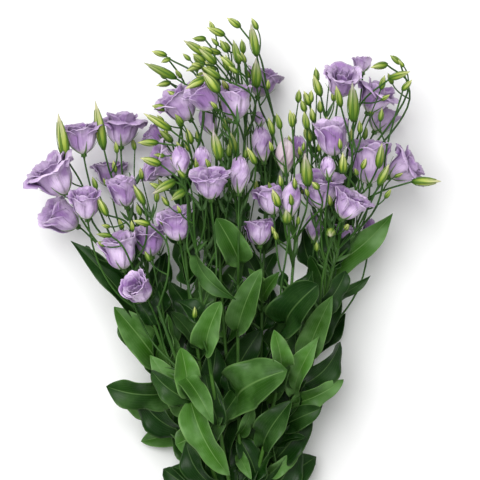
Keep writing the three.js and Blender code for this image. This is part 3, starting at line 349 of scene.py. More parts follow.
LEAF_ROWS = (
    (1, 335, (-203, 437, 104), 30, 25, 0.1, 22, 3),
    (1, 290, (-151, 358, 104), 40, 10, 0.14, 16, 3),
    (1, 255, (-161, 262, 92), 42, -20, 0.2, 14, 4),
    (1, 205, (-154, 244, 52), 34, -30, 0.16, 20, 4),
    (2, 282, (-86, 350, 138), 16, 60, 0.06, 20, 2),
    (5, 310, (-84, 352, 96), 24, 30, 0.1, 18, 2),
    (6, 311, (-22, 366, 180), 36, -18, 0.18, 30, 3),
    (6, 420, (-4, 368, 178), 24, 30, 0.22, 18, 2),
    (4, 258, (-70, 311, 152), 32, 12, 0.14, 18, 3),
    (4, 278, (-31, 221, 166), 28, -14, 0.2, 20, 3),
    (8, 254, (-29, 216, 112), 24, 0, 0.16, 16, 2),
    (4, 246, (-12, 157, 120), 38, 20, 0.18, 20, 4),
    (8, 246, (56, 284, 150), 60, -24, 0.24, 16, 5),
    (10, 340, (92, 386, 168), 50, -20, 0.2, 26, 4),
    (12, 299, (110, 372, 132), 34, -10, 0.16, 20, 3),
    (12, 296, (118, 359, 72), 22, 40, 0.08, 18, 2),
    (12, 251, (94, 323, 128), 30, -30, 0.12, 24, 3),
    (12, 240, (125, 270, 86), 28, 15, 0.16, 18, 3),
    (11, 362, (158, 395, 70), 18, 35, 0.12, 20, 2),
    (11, 401, (184, 470, 88), 36, 20, 0.16, 16, 3),
    (11, 408, (140, 474, 30), 30, -30, 0.1, 18, 3),
    (9, 366, (10, 404, 84), 20, 30, 0.1, 20, 2),
    (9, 366, (48, 400, 80), 18, -20, 0.1, 20, 2),
    (10, 190, (62, 247, 128), 38, -20, 0.18, 22, 4),
    (12, 155, (72, 181, 66), 20, 10, 0.16, 18, 2),
    (8, 206, (16, 245, 124), 18, 20, 0.14, 20, 2),
    (12, 188, (80, 200, 82), 16, -30, 0.2, 26, 3),
    (8, 176, (14, 150, 96), 16, 0, 0.2, 18, 2),
    (1, 162, (-94, 150, 36), 16, 0, 0.16, 18, 2),
    (10, 286, (40, 332, 156), 28, 14, 0.14, 20, 3),
    (8, 412, (-28, 464, 136), 36, 10, 0.14, 18, 3),
    (9, 492, (36, 552, 36), 22, -20, 0.08, 20, 2),
    (5, 216, (-78, 190, 66), 40, -10, 0.2, 16, 4),
    (5, 216, (6, 262, 66), 34, 14, 0.16, 18, 3),
    (7, 262, (26, 330, 60), 38, -8, 0.16, 18, 3),
    (9, 240, (62, 316, 62), 36, 10, 0.14, 16, 3),
    (6, 232, (-52, 186, 122), 34, 12, 0.2, 18, 3),
    (2, 226, (-108, 300, 104), 34, 12, 0.14, 18, 3),
    (8, 330, (26, 404, 126), 34, -14, 0.16, 20, 3),
    (12, 214, (98, 236, 96), 30, -8, 0.18, 18, 3),
    (3, 210, (-122, 190, 12), 34, 14, 0.1, 16, 3),
    (3, 300, (-146, 336, 12), 34, -12, 0.12, 18, 3),
    (7, 200, (-36, 280, 10), 34, 10, 0.08, 16, 3),
    (7, 320, (-56, 392, 12), 32, -10, 0.1, 18, 3),
    (11, 220, (102, 236, 12), 32, -14, 0.12, 18, 3),
    (11, 310, (66, 384, 14), 32, 12, 0.1, 18, 3),
    (7, 430, (-58, 486, 22), 28, 16, 0.1, 18, 3),
)

STEMS = [StemRow(stem_name(number), *row) for number, row in enumerate(STEM_ROWS, 1)]
BLOOMS = [
    BloomRow(f"bloom_{number:02d}", stem_name(on), *row) for number, (on, *row) in enumerate(BLOOM_ROWS, 1)
]
BUDS = [BudRow(stem_name(on), *row) for on, *row in BUD_ROWS]
SHOOTS = [BudRow(stem_name(on), *row) for on, *row in SHOOT_ROWS]
LEAVES = [LeafRow(stem_name(on), *row) for on, *row in LEAF_ROWS]


# ---------------- small helpers


def unit(vectors: Array) -> Array:
    """Vectors scaled to length one, with a zero vector left as it is."""
    length = np.linalg.norm(vectors, axis=-1, keepdims=True)
    return vectors / np.where(length > 0, length, 1)


def beside(direction: Array) -> Array:
    """Level direction square to another, on its right."""
    return unit(np.cross(direction, UPWARD))


def mix(a: float | Array, b: float | Array, share: float | Array) -> float | Array:
    """Value a share of the way from a to b."""
    return a + (b - a) * share


def ease(share: Array) -> Array:
    """Share from 0 to 1 with a slow start and end."""
    kept = np.clip(share, 0, 1)
    return kept * kept * (3 - 2 * kept)


def scattered(number: int | Array) -> float | Array:
    """Share from 0 to 1 that is spread evenly over rising numbers, by the golden ratio."""
    return (number * GOLDEN) % 1


def bow(start: Array, knee: Array, end: Array, t: Array) -> Array:
    """Points at shares t of an arched line that a knee pulls aside."""
    return (1 - t) ** 2 * start + 2 * t * (1 - t) * knee + t**2 * end


def layout_origin() -> Array:
    """Where the layout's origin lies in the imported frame, in metres, from the tie's box."""
    low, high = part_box("tie")
    return np.array([(low.x + high.x) / 2, (low.y + high.y) / 2 - TIE_DISTANCE * MM, 0.0])


ORIGIN = layout_origin()


def to_frame(points: Array) -> Array:
    """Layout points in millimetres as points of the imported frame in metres."""
    return np.asarray(points, float) * MM + ORIGIN


# ---------------- routes of stems and stalks


@dataclass(frozen=True)
class Bar:
    """Straight round bar that routes keep clear of.

    Its owner is the stem that it belongs to, and its part counts from the fork of its stalk. A route
    ignores the bloom that it bears, and all of its own stem apart from what lies beyond the first part
    of the other stalks.
    """

    start: Array
    end: Array
    radius: float
    owner: str
    name: str
    part: int = 0

    def blocks(self, owner: str, own: str) -> bool:
        """Whether a route of this owner, which bears this bloom, has to keep clear of the bar."""
        return self.part > 0 if self.owner == owner else self.name != own


def closest_points(a0: Array, a1: Array, b0: Array, b1: Array) -> tuple[Array, Array, Array]:
    """Closest points of segments a and b, by broadcasting.

    Returns:
        The share along a, and the closest point on a and on b.
    """
    d1 = a1 - a0
    d2 = b1 - b0
    r = a0 - b0
    a = np.maximum((d1 * d1).sum(-1), 1e-9)
    e = np.maximum((d2 * d2).sum(-1), 1e-9)
    b = (d1 * d2).sum(-1)
    c = (d1 * r).sum(-1)
    f = (d2 * r).sum(-1)
    denominator = a * e - b * b
    crossing = denominator > 1e-9
    s = np.where(crossing, np.clip((b * f - c * e) / np.where(crossing, denominator, 1), 0, 1), 0.5)
    t = np.clip((b * s + f) / e, 0, 1)
    s = np.clip((b * t - c) / a, 0, 1)
    return s, a0 + d1 * s[..., None], b0 + d2 * t[..., None]


def bend_clear(
    points: Array, radius: float, bars: list[Bar], owner: str, own: str, fixed: int = 1
) -> Array:
    """Bends the inner points of a route off what other stems and blooms fill, and keeps its ends.

    Args:
        points: The route.
        radius: Radius of the stem or stalk.
        bars: What stands in the way.
        owner: The stem that the route belongs to.
        own: Name of what the route bears.
        fixed: How many points at the start stay put.

    Returns:
        The bent route.
    """
    shifts = np.zeros_like(points)
    kept = [bar for bar in bars if bar.blocks(owner, own)]
    if not kept:
        return points.copy()
    starts, ends = (np.array([getattr(bar, key) for bar in kept]) for key in ("start", "end"))
    room = radius + np.array([bar.radius for bar in kept])[None] + BEND_CLEARANCE
    last = len(points) - 1
    at_fork = np.zeros((last, len(kept)), bool)
    at_fork[0] = [bar.owner == owner for bar in kept]
    for bend in range(BEND_ROUNDS):
        moved = points + shifts
        s, on_a, on_b = closest_points(moved[:-1, None], moved[1:, None], starts[None], ends[None])
        away = on_a - on_b
        short = np.where(at_fork, 0, np.maximum(room - np.linalg.norm(away, axis=-1), 0))
        push = unit(away) * (short * BEND_RATE)[..., None]
        shifts[:-1] += (push * (1 - s)[..., None]).sum(1)
        shifts[1:] += (push * s[..., None]).sum(1)
        shifts[:fixed] = 0
        shifts[last] = 0
        if bend < BEND_ROUNDS / 2:
            for i in range(fixed, last):
                shifts[i] = mix(shifts[i], (shifts[i - 1] + shifts[i + 1]) / 2, BEND_EVENING)
    return points + shifts


def catmull_rom(points: Array, steps: int) -> Array:
    """Centripetal Catmull-Rom curve through the points, with the ends extended straight.

    Args:
        points: Points that the curve passes.
        steps: Number of equal steps of its parameter.

    Returns:
        The points at the ends of the steps.
    """
    padded = np.vstack([2 * points[0] - points[1], points, 2 * points[-1] - points[-2]])
    result = []
    for step in range(steps + 1):
        at = (len(points) - 1) * step / steps
        k = min(int(at), len(points) - 2)
        w = at - k
        p = padded[k : k + 4]
        gaps = np.sqrt(np.linalg.norm(np.diff(p, axis=0), axis=1))
        leave = (p[1] - p[0]) / gaps[0] - (p[2] - p[0]) / (gaps[0] + gaps[1]) + (p[2] - p[1]) / gaps[1]
        reach = (p[2] - p[1]) / gaps[1] - (p[3] - p[1]) / (gaps[1] + gaps[2]) + (p[3] - p[2]) / gaps[2]
        t1 = leave * gaps[1]
        t2 = reach * gaps[1]
        squared = (3 * (p[2] - p[1]) - 2 * t1 - t2) * w**2
        result.append(p[1] + t1 * w + squared + (2 * (p[1] - p[2]) + t1 + t2) * w**3)
    return np.array(result)


def point_at_height(points: Array, height: float) -> tuple[Array, Array]:
    """Finds the point of a rising route at a height along the bunch.

    Args:
        points: The route.
        height: The height, which the ends of the route limit.

    Returns:
        The point, and the direction of the route there.
    """
    wanted = min(max(height, points[0][1] + 1), points[-1][1] - 1)
    i = next(k for k in range(1, len(points)) if points[k][1] >= wanted)
    share = max(0.0, (wanted - points[i - 1][1]) / (points[i][1] - points[i - 1][1]))
    return mix(points[i - 1], points[i], share), unit(points[i] - points[i - 1])


def outward_from(start: Array, direction: Array, target: Array) -> Array:
    """Direction from a line out to a point, square to the line."""
    way = target - start
    return unit(way - direction * way.dot(direction))


def branch_route(start: Array, direction: Array, end: Array, axis: Array, steps: int) -> Array:
    """Bow that leaves a stem at a fork's angle and ends along the axis of what it bears.

    Args:
        start: Its fork.
        direction: Direction of the stem at the fork.
        end: Where it ends.
        axis: Axis of what it bears.
        steps: Number of straight parts.

    Returns:
        The points between its parts, with both ends.
    """
    reach = np.linalg.norm(end - start) * FORK_REACH
    leaving = unit(outward_from(start, direction, end) * FORK_SLOPE + direction)
    t = np.linspace(0, 1, steps + 1)[:, None]
    knots = [start, start + leaving * reach, end - axis * reach, end]
    weights = [(1 - t) ** 3, 3 * t * (1 - t) ** 2, 3 * t**2 * (1 - t), t**3]
    return sum(weight * knot for weight, knot in zip(weights, knots))


def stem_points(row: StemRow) -> Array:
    """Lays a stem from its cut end through the tie to its top, before it is bent clear.

    Args:
        row: The stem.

    Returns:
        The points of its route.
    """
    across, upwards = row.slot
    lane = upwards * STEM_PITCH * LAYER_PITCH

    def place(y: float, spread: float) -> list[float]:
        """Point of the stem at y, with the stems spread apart."""
        return [across * STEM_PITCH * spread, y, TIE_OUTER + lane * spread]

    foot = FOOT_FIRST + FOOT_STAGGER[0] * abs(across) + FOOT_STAGGER[1] * abs(upwards)
    half_tie = TIE_WIDTH / 2 + TIED_MARGIN
    straight = [place(foot, FOOT_SPREAD), place(TIE_DISTANCE - half_tie, 1)]
    above = np.array([place(TIE_DISTANCE + half_tie, 1), *row.route], float)
    return np.vstack([straight, catmull_rom(above, STEM_STEPS_PER_SPAN * len(row.route))])


def petal_angle(form: tuple[float, ...], share: Array) -> Array:
    """Angle of a petal to its bloom's axis.

    Args:
        form: Its angles at root, middle and rim, in degrees.
        share: Shares of its length.

    Returns:
        The angle at each share, in radians.
    """
    root, middle, rim = form[:3]
    low = mix(root, middle, share / PETAL_WAIST)
    high = mix(middle, rim, np.clip((share - PETAL_WAIST) / (1 - PETAL_WAIST), 0, None) ** PETAL_FLARE)
    return np.radians(np.where(share < PETAL_WAIST, low, high))


def petal_profile(form: tuple[float, ...], length: float, share: Array) -> tuple[Array, Array, Array]:
    """Middle line of a petal, as its angle bends it from root to rim.

    Args:
        form: Its angles at root, middle and rim, in degrees.
        length: Its length.
        share: Shares of its length.

    Returns:
        Distance from the axis, height above the base and angle to the axis, at each share.
    """
    shares = np.asarray(share, float)
    steps = (np.arange(PETAL_STEPS) + 0.5) / PETAL_STEPS
    angles = petal_angle(form, shares[..., None] * steps)
    radius = PETAL_ROOT_RADIUS + np.sin(angles).mean(-1) * length * shares
    height = np.cos(angles).mean(-1) * length * shares
    return radius, height, petal_angle(form, shares)


@dataclass(frozen=True)
class Seat:
    """Where a bloom sits: its base, its axis and the two directions across it."""

    base: Array
    axis: Array
    right: Array
    up: Array

    @classmethod
    def of(cls, row: BloomRow) -> "Seat":
        """Seat of a bloom's row."""
        heading = math.radians(row.heading)
        lift = math.radians(row.lift)
        flat = math.cos(lift)
        axis = np.array([math.cos(heading) * flat, math.sin(heading) * flat, math.sin(lift)])
        right = np.array([math.sin(heading), -math.cos(heading), 0.0])
        return cls(np.array(row.base, float), axis, right, np.cross(axis, right))

    def place(self, angle: Array, out: Array, along: Array) -> Array:
        """Points at an angle round the axis, a distance out from it and a distance along it."""
        round_it = np.cos(angle)[..., None] * self.right + np.sin(angle)[..., None] * self.up
        return self.base + round_it * out[..., None] + self.axis * along[..., None]


@dataclass(frozen=True)
class YoungBud:
    """Young bud with the thin stalk that it grows on."""

    on: str
    line: Array
    tip: Array
    width: float


class Routes:
    """Routes of every stem and stalk, bent clear of each other in the same order as the solids'."""

    def __init__(self) -> None:
        """Lays the stems, then the stalks of the blooms, then those of the buds and the side shoots."""
        self.bars: list[Bar] = []
        self.spines: dict[str, Array] = {}
        for row in STEMS:
            points = bend_clear(stem_points(row), STEM_RADIUS_FOOT, self.bars, row.name, "", TIED_POINTS)
            self.spines[row.name] = points
            for start, end in zip(points[:-1], points[1:]):
                self.bars.append(Bar(start, end, STEM_RADIUS_FOOT, row.name, "spine"))
        for row in BLOOMS:
            seat = Seat.of(row)
            radius, height, _ = petal_profile(row.form.value, row.petal, np.array(1.0))
            start, end = (seat.base + seat.axis * float(height) * share for share in BLOOM_ROOM)
            self.bars.append(Bar(start, end, float(radius) * BLOOM_ROOM_WIDTH, "bloom", row.name))
        for row in BUDS:
            self.bars.append(Bar(*row.ends(), row.width / 2, row.on, f"bud of {row.on}"))
        self.bloom_stalks = [self._bloom_stalk(i, row) for i, row in enumerate(BLOOMS)]
        self.bud_stalks = [self._bud_stalk(i, row, BUD_DROP, 1.0) for i, row in enumerate(BUDS)]
        self.young = [self._side_bud(i, k) for i in range(len(BUDS)) for k in range(1 + i % 2)]
        self.shoots = [self._shoot(i, row) for i, row in enumerate(SHOOTS)]
        self.young += self.shoots

    def _stalk(self, on: str, height: float, end: Array, axis: Array, own: str = "") -> Array:
        """Route of one stalk from its fork to what it bears.

        Args:
            on: The stem that it grows from.
            height: How far along the bunch it forks off.
            end: Where it ends.
            axis: Axis of what it bears.
            own: Name of the bloom that it bears, or nothing for a bud.

        Returns:
            The bent route.
        """
        point, direction = point_at_height(self.spines[on], height)
        point = point + outward_from(point, direction, end) * ROOT_OFFSET
        short = not own and np.linalg.norm(point - end) < LONG_BUD_STALK
        route = branch_route(point, direction, end, axis, BUD_STALK_STEPS if short else STALK_STEPS)
        bent = bend_clear(route, BRANCH_RADIUS_START, self.bars, on, own)
        for part in range(len(bent) - 1):
            self.bars.append(Bar(bent[part], bent[part + 1], BRANCH_RADIUS_START, on, on, part))
        return bent

    def _fork(self, base: Point, drop: float, index: int) -> float:
        """Height of the fork of a stalk, with the forks of neighbours spread along their stem."""
        return base[1] - drop * (FORK_LOWEST + FORK_RANGE * scattered(index))

    def _bloom_stalk(self, index: int, row: BloomRow) -> Array:
        """Route of a bloom's stalk up to its calyx."""
        seat = Seat.of(row)
        end = seat.base - seat.axis * CALYX_LENGTH
        return self._stalk(row.on, self._fork(row.base, BLOOM_DROP, index), end, seat.axis, row.name)

    def _bud_stalk(self, index: int, row: BudRow, drop: float, overlap: float) -> Array:
        """Route of a bud's stalk, which forks off a drop below the bud and reaches into its foot."""
        base, tip = row.ends()
        axis = unit(tip - base)
        return self._stalk(row.on, self._fork(row.base, drop, index), base + axis * overlap, axis)

    def _shoot(self, index: int, row: BudRow) -> YoungBud:
        """Thin side shoot that rises far beside its stem, with its young bud."""
        return YoungBud(row.on, self._bud_stalk(index, row, SHOOT_DROP, 0.0), row.ends()[1], row.width)

    def _side_bud(self, index: int, number: int) -> YoungBud:
        """Young bud beside a bud of the table, to the left or to the right of its stalk.

        Args:
            index: The older bud's place in the table.
            number: 0 for its first young bud, 1 for its second.

        Returns:
            The young bud with its stalk.
        """
        stalk = self.bud_stalks[index]
        start = stalk[-2 - number] if len(stalk) > 2 + number else stalk[-2]
        along = unit(stalk[-1] - start)
        aside = beside(along) * (1 if (index + number) % 2 else -1)
        lift = np.array([0.0, 0.0, SIDE_STALK_LIFT * math.sin(2.3 * index + number)])
        least, spread = SIDE_BUD_SIZES
        size = least + spread * ((index * GOLDEN + 0.5 * number) % 1)
        knee, end = (
            start + (along * forth + aside * out + lift) * SIDE_STALK * size
            for forth, out in (SIDE_STALK_KNEE, SIDE_STALK_END)
        )
        line = bow(start, knee, end, np.linspace(0, 1, 5)[:, None])
        tip = end + unit(end - knee) * SIDE_BUD_LENGTH * size
        return YoungBud(BUDS[index].on, line, tip, SIDE_BUD_WIDTH * size)


# ---------------- meshes


def linked(name: str, data: object) -> bpy.types.Object:
    """New object of the scene that shows this data."""
    made = bpy.data.objects.new(name, data)
    bpy.context.scene.collection.objects.link(made)
    return made


def store(mesh: bpy.types.Mesh, values: dict[str, Array]) -> None:
    """Stores a number or a vector at each vertex, for each attribute."""
    for name, column in values.items():
        kind, key = ("FLOAT", "value") if np.ndim(column) == 1 else ("FLOAT_VECTOR", "vector")
        layer = mesh.attributes.new(name, kind, "POINT")
        layer.data.foreach_set(key, np.asarray(column, np.float32).ravel())


@dataclass
class MeshPile:
    """Vertices, faces, uv and values per vertex, gathered in layout millimetres for one piece."""

    points: list[Array] = field(default_factory=list)
    faces: list[Array] = field(default_factory=list)
    uvs: list[Array] = field(default_factory=list)
    values: dict[str, list[Array]] = field(default_factory=dict)
    count: int = 0

    def add(self, points: Array, faces: Array, uv: Array, **values: Array | float) -> None:
        """Adds a closed shape.

        Args:
            points: Its vertices.
            faces: Its four-sided faces, as rows of vertex numbers.
            uv: Its uv per vertex.
            values: Values per vertex, or one for all, by attribute name.
        """
        self.points.append(points)
        self.faces.append(faces + self.count)
        self.uvs.append(uv)
        for name, value in values.items():
            self.values.setdefault(name, []).append(np.broadcast_to(value, len(points)))
        self.count += len(points)

    def build(self, name: str, material: bpy.types.Material | None = None) -> bpy.types.Object:
        """Makes the gathered shapes one smooth mesh object at the origin, in the frame's metres.

        Args:
            name: Name of the object.
            material: Its material. A shape without one stays in its own units, for a tree to place.

        Returns:
            The new object, linked to the scene.
        """
        mesh = bpy.data.meshes.new(name)
        points = np.vstack(self.points)
        if material:
            points = to_frame(points)
            points[:, 2] = np.maximum(points[:, 2], TABLE_CLEARANCE * MM)
            mesh.materials.append(material)
        faces = np.vstack(self.faces)
        mesh.vertices.add(len(points))
        mesh.vertices.foreach_set("co", points.astype(np.float32).ravel())
        mesh.loops.add(faces.size)
        mesh.loops.foreach_set("vertex_index", faces.astype(np.int32).ravel())
        mesh.polygons.add(len(faces))
        mesh.polygons.foreach_set("loop_start", np.arange(0, faces.size, 4, dtype=np.int32))
        mesh.update(calc_edges=True)
        uv = np.concatenate(self.uvs)[faces.ravel()]
        mesh.uv_layers.new(name="UVMap").data.foreach_set("uv", uv.astype(np.float32).ravel())
        store(mesh, {key: np.concatenate(parts) for key, parts in self.values.items()})
        mesh.polygons.foreach_set("use_smooth", np.ones(len(faces), bool))
        mesh.validate()
        mesh.update()
        return linked(name, mesh)


def grid_shares(rows: int, columns: int) -> tuple[Array, Array]:
    """Shares of a grid: u in a row, from -1 to 1 across it, and v in a column, from 0 to 1 along it."""
    return np.linspace(-1, 1, columns)[None], np.linspace(0, 1, rows)[:, None]


def grid_uv(across: Array, along: Array) -> Array:
    """Rows of u and v for a grid of vertices, from the v of its rows and the u of its columns."""
    v, u = np.meshgrid(along, across, indexing="ij")
    return np.stack([u.ravel(), v.ravel()], 1)


def sheet(middle: Array, thickness: Array | float) -> tuple[Array, Array, Array]:
    """Thin closed sheet round a grid of points.

    Args:
        middle: Grid of rows by columns of points.
        thickness: Thickness at each point of the grid, or one for all.

    Returns:
        Vertices, four-sided faces, and uv with v along the rows; the first half of the vertices is the
        face that lies to the left of the rows' direction seen across the columns.
    """
    rows, columns = middle.shape[:2]
    normal = unit(np.cross(np.gradient(middle, axis=1), np.gradient(middle, axis=0)))
    half = normal * np.broadcast_to(thickness, (rows, columns))[..., None] / 2
    points = np.concatenate([(middle + half).reshape(-1, 3), (middle - half).reshape(-1, 3)])
    number = np.arange(rows * columns).reshape(rows, columns)
    a, b = number[:-1, :-1].ravel(), number[:-1, 1:].ravel()
    c, d = number[1:, 1:].ravel(), number[1:, :-1].ravel()
    front = np.stack([a, b, c, d], 1)
    back = np.stack([a, d, c, b], 1) + rows * columns
    rim = np.concatenate([number[0, :-1], number[:-1, -1], number[-1, :0:-1], number[:0:-1, 0]])
    after = np.roll(rim, -1)
    edge = np.stack([rim + rows * columns, after + rows * columns, after, rim], 1)
    uv = grid_uv(np.linspace(0, 1, columns), np.linspace(0, 1, rows))
    return points, np.concatenate([front, back, edge]), np.concatenate([uv, uv])


def spindle(
    stations: Array, sides: int, shape: Callable[[Array, Array], Array]
) -> tuple[Array, Array, Array]:
    """Closed round body along +Z through stations of height and radius.

    Args:
        stations: Rows of height and radius, from the bottom up.
        sides: Number of sides.
        shape: Function of angle and height that gives a factor on the radius.

    Returns:
        Vertices, four-sided faces that close on a small ring at both ends, and uv.
    """
    angle = np.linspace(0, 2 * math.pi, sides, endpoint=False)[None]
    height = stations[:, 0][:, None]
    radius = stations[:, 1][:, None] * shape(angle, height)
    grid = np.stack(np.broadcast_arrays(radius * np.cos(angle), radius * np.sin(angle), height), -1)
    number = np.arange(len(stations) * sides).reshape(-1, sides)
    after = np.roll(number, -1, axis=1)
    wall = np.stack([number[:-1], after[:-1], after[1:], number[1:]], -1).reshape(-1, 4)
    caps = []
    for k in range(1, sides - 2, 2):
        caps.append(number[0, [0, k + 2, k + 1, k]])
        caps.append(number[-1, [0, k, k + 1, k + 2]])
    uv = grid_uv(np.arange(sides) / sides, stations[:, 0])
    return grid.reshape(-1, 3), np.concatenate([wall, np.array(caps)]), uv


def smooth_curve(knots: tuple[float, ...], heights: tuple[float, ...], at: Array) -> Array:
    """Smooth interpolation with a flat slope at its peaks.

    Args:
        knots: Rising places of the knots.
        heights: Height of the curve at each knot.
        at: Where the curve is wanted.

    Returns:
        Heights of the curve there.
    """
    knots, values = np.array(knots), np.array(heights)
    slopes = np.gradient(values, knots)
    inner = np.sign(np.diff(values)[:-1]) != np.sign(np.diff(values)[1:])
    slopes[1:-1] = np.where(inner, 0, slopes[1:-1])
    k = np.clip(np.searchsorted(knots, at, side="right") - 1, 0, len(knots) - 2)
    gap = knots[k + 1] - knots[k]
    t = (at - knots[k]) / gap
    hermite = (2 * t**3 - 3 * t**2 + 1) * values[k] + (t**3 - 2 * t**2 + t) * gap * slopes[k]
    return hermite + (3 * t**2 - 2 * t**3) * values[k + 1] + (t**3 - t**2) * gap * slopes[k + 1]


def polylines(name: str, routes: list[Array], steps: int, **values: list[Array]) -> bpy.types.Mesh:
    """Mesh of separate smoothed lines, in the frame's metres.

    Args:
        name: Name of the mesh.
        routes: The points that the lines pass, in layout millimetres.
        steps: Number of steps from one point to the next.
        values: For each attribute, one array per line with a value at each of its points.

    Returns:
        The mesh, with edges only.
    """
    mesh = bpy.data.meshes.new(name)
    lines = [catmull_rom(route, steps * (len(route) - 1)) for route in routes]
    edges = []
    start = 0
    for line in lines:
        edges += [(start + i, start + i + 1) for i in range(len(line) - 1)]
        start += len(line)
    mesh.from_pydata(to_frame(np.vstack(lines)).tolist(), edges, [])

    def evened(part: Array) -> Array:
        """Values at every step of a line from those at its points."""
        return np.interp(np.arange(len(part) * steps - steps + 1) / steps, np.arange(len(part)), part)

    store(mesh, {key: np.concatenate([evened(part) for part in parts]) for key, parts in values.items()})
    return mesh


def cloud(name: str, places: Array, values: dict[str, Array]) -> bpy.types.Mesh:
    """Mesh of loose points in the frame's metres, with a number or a vector at each by attribute name."""
    mesh = bpy.data.meshes.new(name)
    mesh.from_pydata(to_frame(places).tolist(), [], [])
    store(mesh, values)
    return mesh


# ---------------- node graphs


class NodeGraph:
    """A tree of nodes made in code."""

    tree: bpy.types.NodeTree

    def node(
        self, kind: str, inputs: dict | None = None, output: int | str = 0, **settings: object
    ) -> bpy.types.NodeSocket:
        """Adds a node.

        Args:
            kind: The node's type.
            inputs: Numbers, sockets or wrapped values for its inputs, by name or number.
            output: Name or number of the output that is wanted.
            settings: Its properties, which are set first.

        Returns:
            The output's socket.
        """
        made = self.tree.nodes.new(kind)
        for key, value in settings.items():
            setattr(made, key, value)
        for key, value in (inputs or {}).items():
            value = value.socket if isinstance(value, Value) else value
            if isinstance(value, bpy.types.NodeSocket):
                self.tree.links.new(value, made.inputs[key])
            else:
                made.inputs[key].default_value = value
        return made.outputs[output]


class GeometryTree(NodeGraph):
    """A geometry node tree with named inputs."""

    def __init__(self, name: str) -> None:
        """Starts an empty tree with one geometry input and one geometry output."""
        self.tree = bpy.data.node_groups.new(name, "GeometryNodeTree")
        self.tree.interface.new_socket("Geometry", in_out="OUTPUT", socket_type="NodeSocketGeometry")
        self.entry = self.tree.nodes.new("NodeGroupInput")
        self.geometry = self.named_input("Geometry", "NodeSocketGeometry")

    def named_input(self, name: str, kind: str) -> bpy.types.NodeSocket:
        """Adds an input of the tree and returns the socket that carries it."""
        self.tree.interface.new_socket(name, in_out="INPUT", socket_type=kind)
        return self.entry.outputs[name]

    def attribute(self, name: str, kind: str = "FLOAT") -> bpy.types.NodeSocket:
        """Socket that reads a named attribute."""
        return self.node("GeometryNodeInputNamedAttribute", {"Name": name}, "Attribute", data_type=kind)

    def close(self, geometry: bpy.types.NodeSocket) -> None:
        """Ends the tree in smooth shading, Realize Instances and Set Material."""
        material = self.named_input("Material", "NodeSocketMaterial")
        shaded = self.node("GeometryNodeSetShadeSmooth", {"Geometry": geometry})
        real = self.node("GeometryNodeRealizeInstances", {"Geometry": shaded})
        dressed = self.node("GeometryNodeSetMaterial", {"Geometry": real, "Material": material})
        self.tree.links.new(dressed, self.tree.nodes.new("NodeGroupOutput").inputs["Geometry"])

    def run(self, name: str, source: bpy.types.Mesh, **values: object) -> bpy.types.Object:
        """Runs the tree on a mesh and returns what it makes as a plain mesh object.

        Args:
            name: Name of the new object.
            source: Mesh that the tree starts from.
            values: Values of the tree's named inputs.

        Returns:
            The new object, with no modifier left on it.
        """
        carrier = linked(name + "_source", source)
        modifier = carrier.modifiers.new("tree", "NODES")
        modifier.node_group = self.tree
        for item in self.tree.interface.items_tree:
            if item.in_out == "INPUT" and item.name in values:
                modifier[item.identifier] = values[item.name]
        depsgraph = bpy.context.evaluated_depsgraph_get()
        mesh = bpy.data.meshes.new_from_object(
            carrier.evaluated_get(depsgraph), preserve_all_data_layers=True, depsgraph=depsgraph
        )
        bpy.data.objects.remove(carrier)
        bpy.data.meshes.remove(source)
        return linked(name, mesh)


def sweep_tree() -> GeometryTree:
    """Tree that sweeps a round section along lines, with the radius that each point's girth gives."""
    tree = GeometryTree("round_sweep")
    sides = tree.named_input("Sides", "NodeSocketInt")
    curve = tree.node("GeometryNodeMeshToCurve", {"Mesh": tree.geometry})
    section = tree.node("GeometryNodeCurvePrimitiveCircle", {"Resolution": sides, "Radius": 1.0})
    girth = tree.attribute("girth")
    ends = {"Curve": curve, "Profile Curve": section, "Scale": girth, "Fill Caps": True}
    tree.close(tree.node("GeometryNodeCurveToMesh", ends))
    return tree


def scatter_tree() -> GeometryTree:
    """Tree that sets a shape on points, turned to each point's aim and scaled by its size."""
    tree = GeometryTree("aimed_scatter")
    source = {"Object": tree.named_input("Shape", "NodeSocketObject")}
    shape = tree.node("GeometryNodeObjectInfo", source, "Geometry", transform_space="ORIGINAL")
    points = tree.node("GeometryNodeMeshToPoints", {"Mesh": tree.geometry})
    turn = {"Axis": UPWARD, "Angle": tree.attribute("spin")}
    spin = tree.node("FunctionNodeAxisAngleToRotation", turn)
    aim = {"Rotation": spin, "Vector": tree.attribute("aim", "FLOAT_VECTOR")}
    aimed = tree.node("FunctionNodeAlignRotationToVector", aim, axis="Z")
    size = tree.attribute("size", "FLOAT_VECTOR")
    placed = {"Points": points, "Instance": shape, "Rotation": aimed, "Scale": size}
    tree.close(tree.node("GeometryNodeInstanceOnPoints", placed))
    return tree


def arithmetic(operation: str, turned: bool = False) -> Callable[["Value", "Value | float"], "Value"]:
    """Makes a method of Value that works by a Math node.

    Args:
        operation: The node's operation.
        turned: Whether the value comes second, as in 1 - mask.

    Returns:
        The method.
    """

    def method(value: "Value", other: "Value | float" = 0.0) -> "Value":
        """Adds the node and returns what it gives."""
        ends = {0: other, 1: value} if turned else {0: value, 1: other}
        return Value(value.graph, value.graph.node("ShaderNodeMath", ends, operation=operation))

    return method


@dataclass
class Value:
    """A number that runs along a shader link, with the usual arithmetic, its sine and its absolute size."""

    graph: "ShaderGraph"
    socket: bpy.types.NodeSocket

    __add__ = __radd__ = arithmetic("ADD")
    __sub__ = arithmetic("SUBTRACT")
    __rsub__ = arithmetic("SUBTRACT", turned=True)
    __mul__ = __rmul__ = arithmetic("MULTIPLY")
    wave = arithmetic("SINE")
    size = arithmetic("ABSOLUTE")

    def ramp(self, low: float, high: float) -> "Value":
        """Smooth rise from 0 at low to 1 at high, or a fall if high is the smaller."""
        ends = {"Value": self, "From Min": low, "From Max": high, "To Min": 0.0, "To Max": 1.0}
        rise = self.graph.node("ShaderNodeMapRange", ends, interpolation_type="SMOOTHSTEP")
        return Value(self.graph, rise)


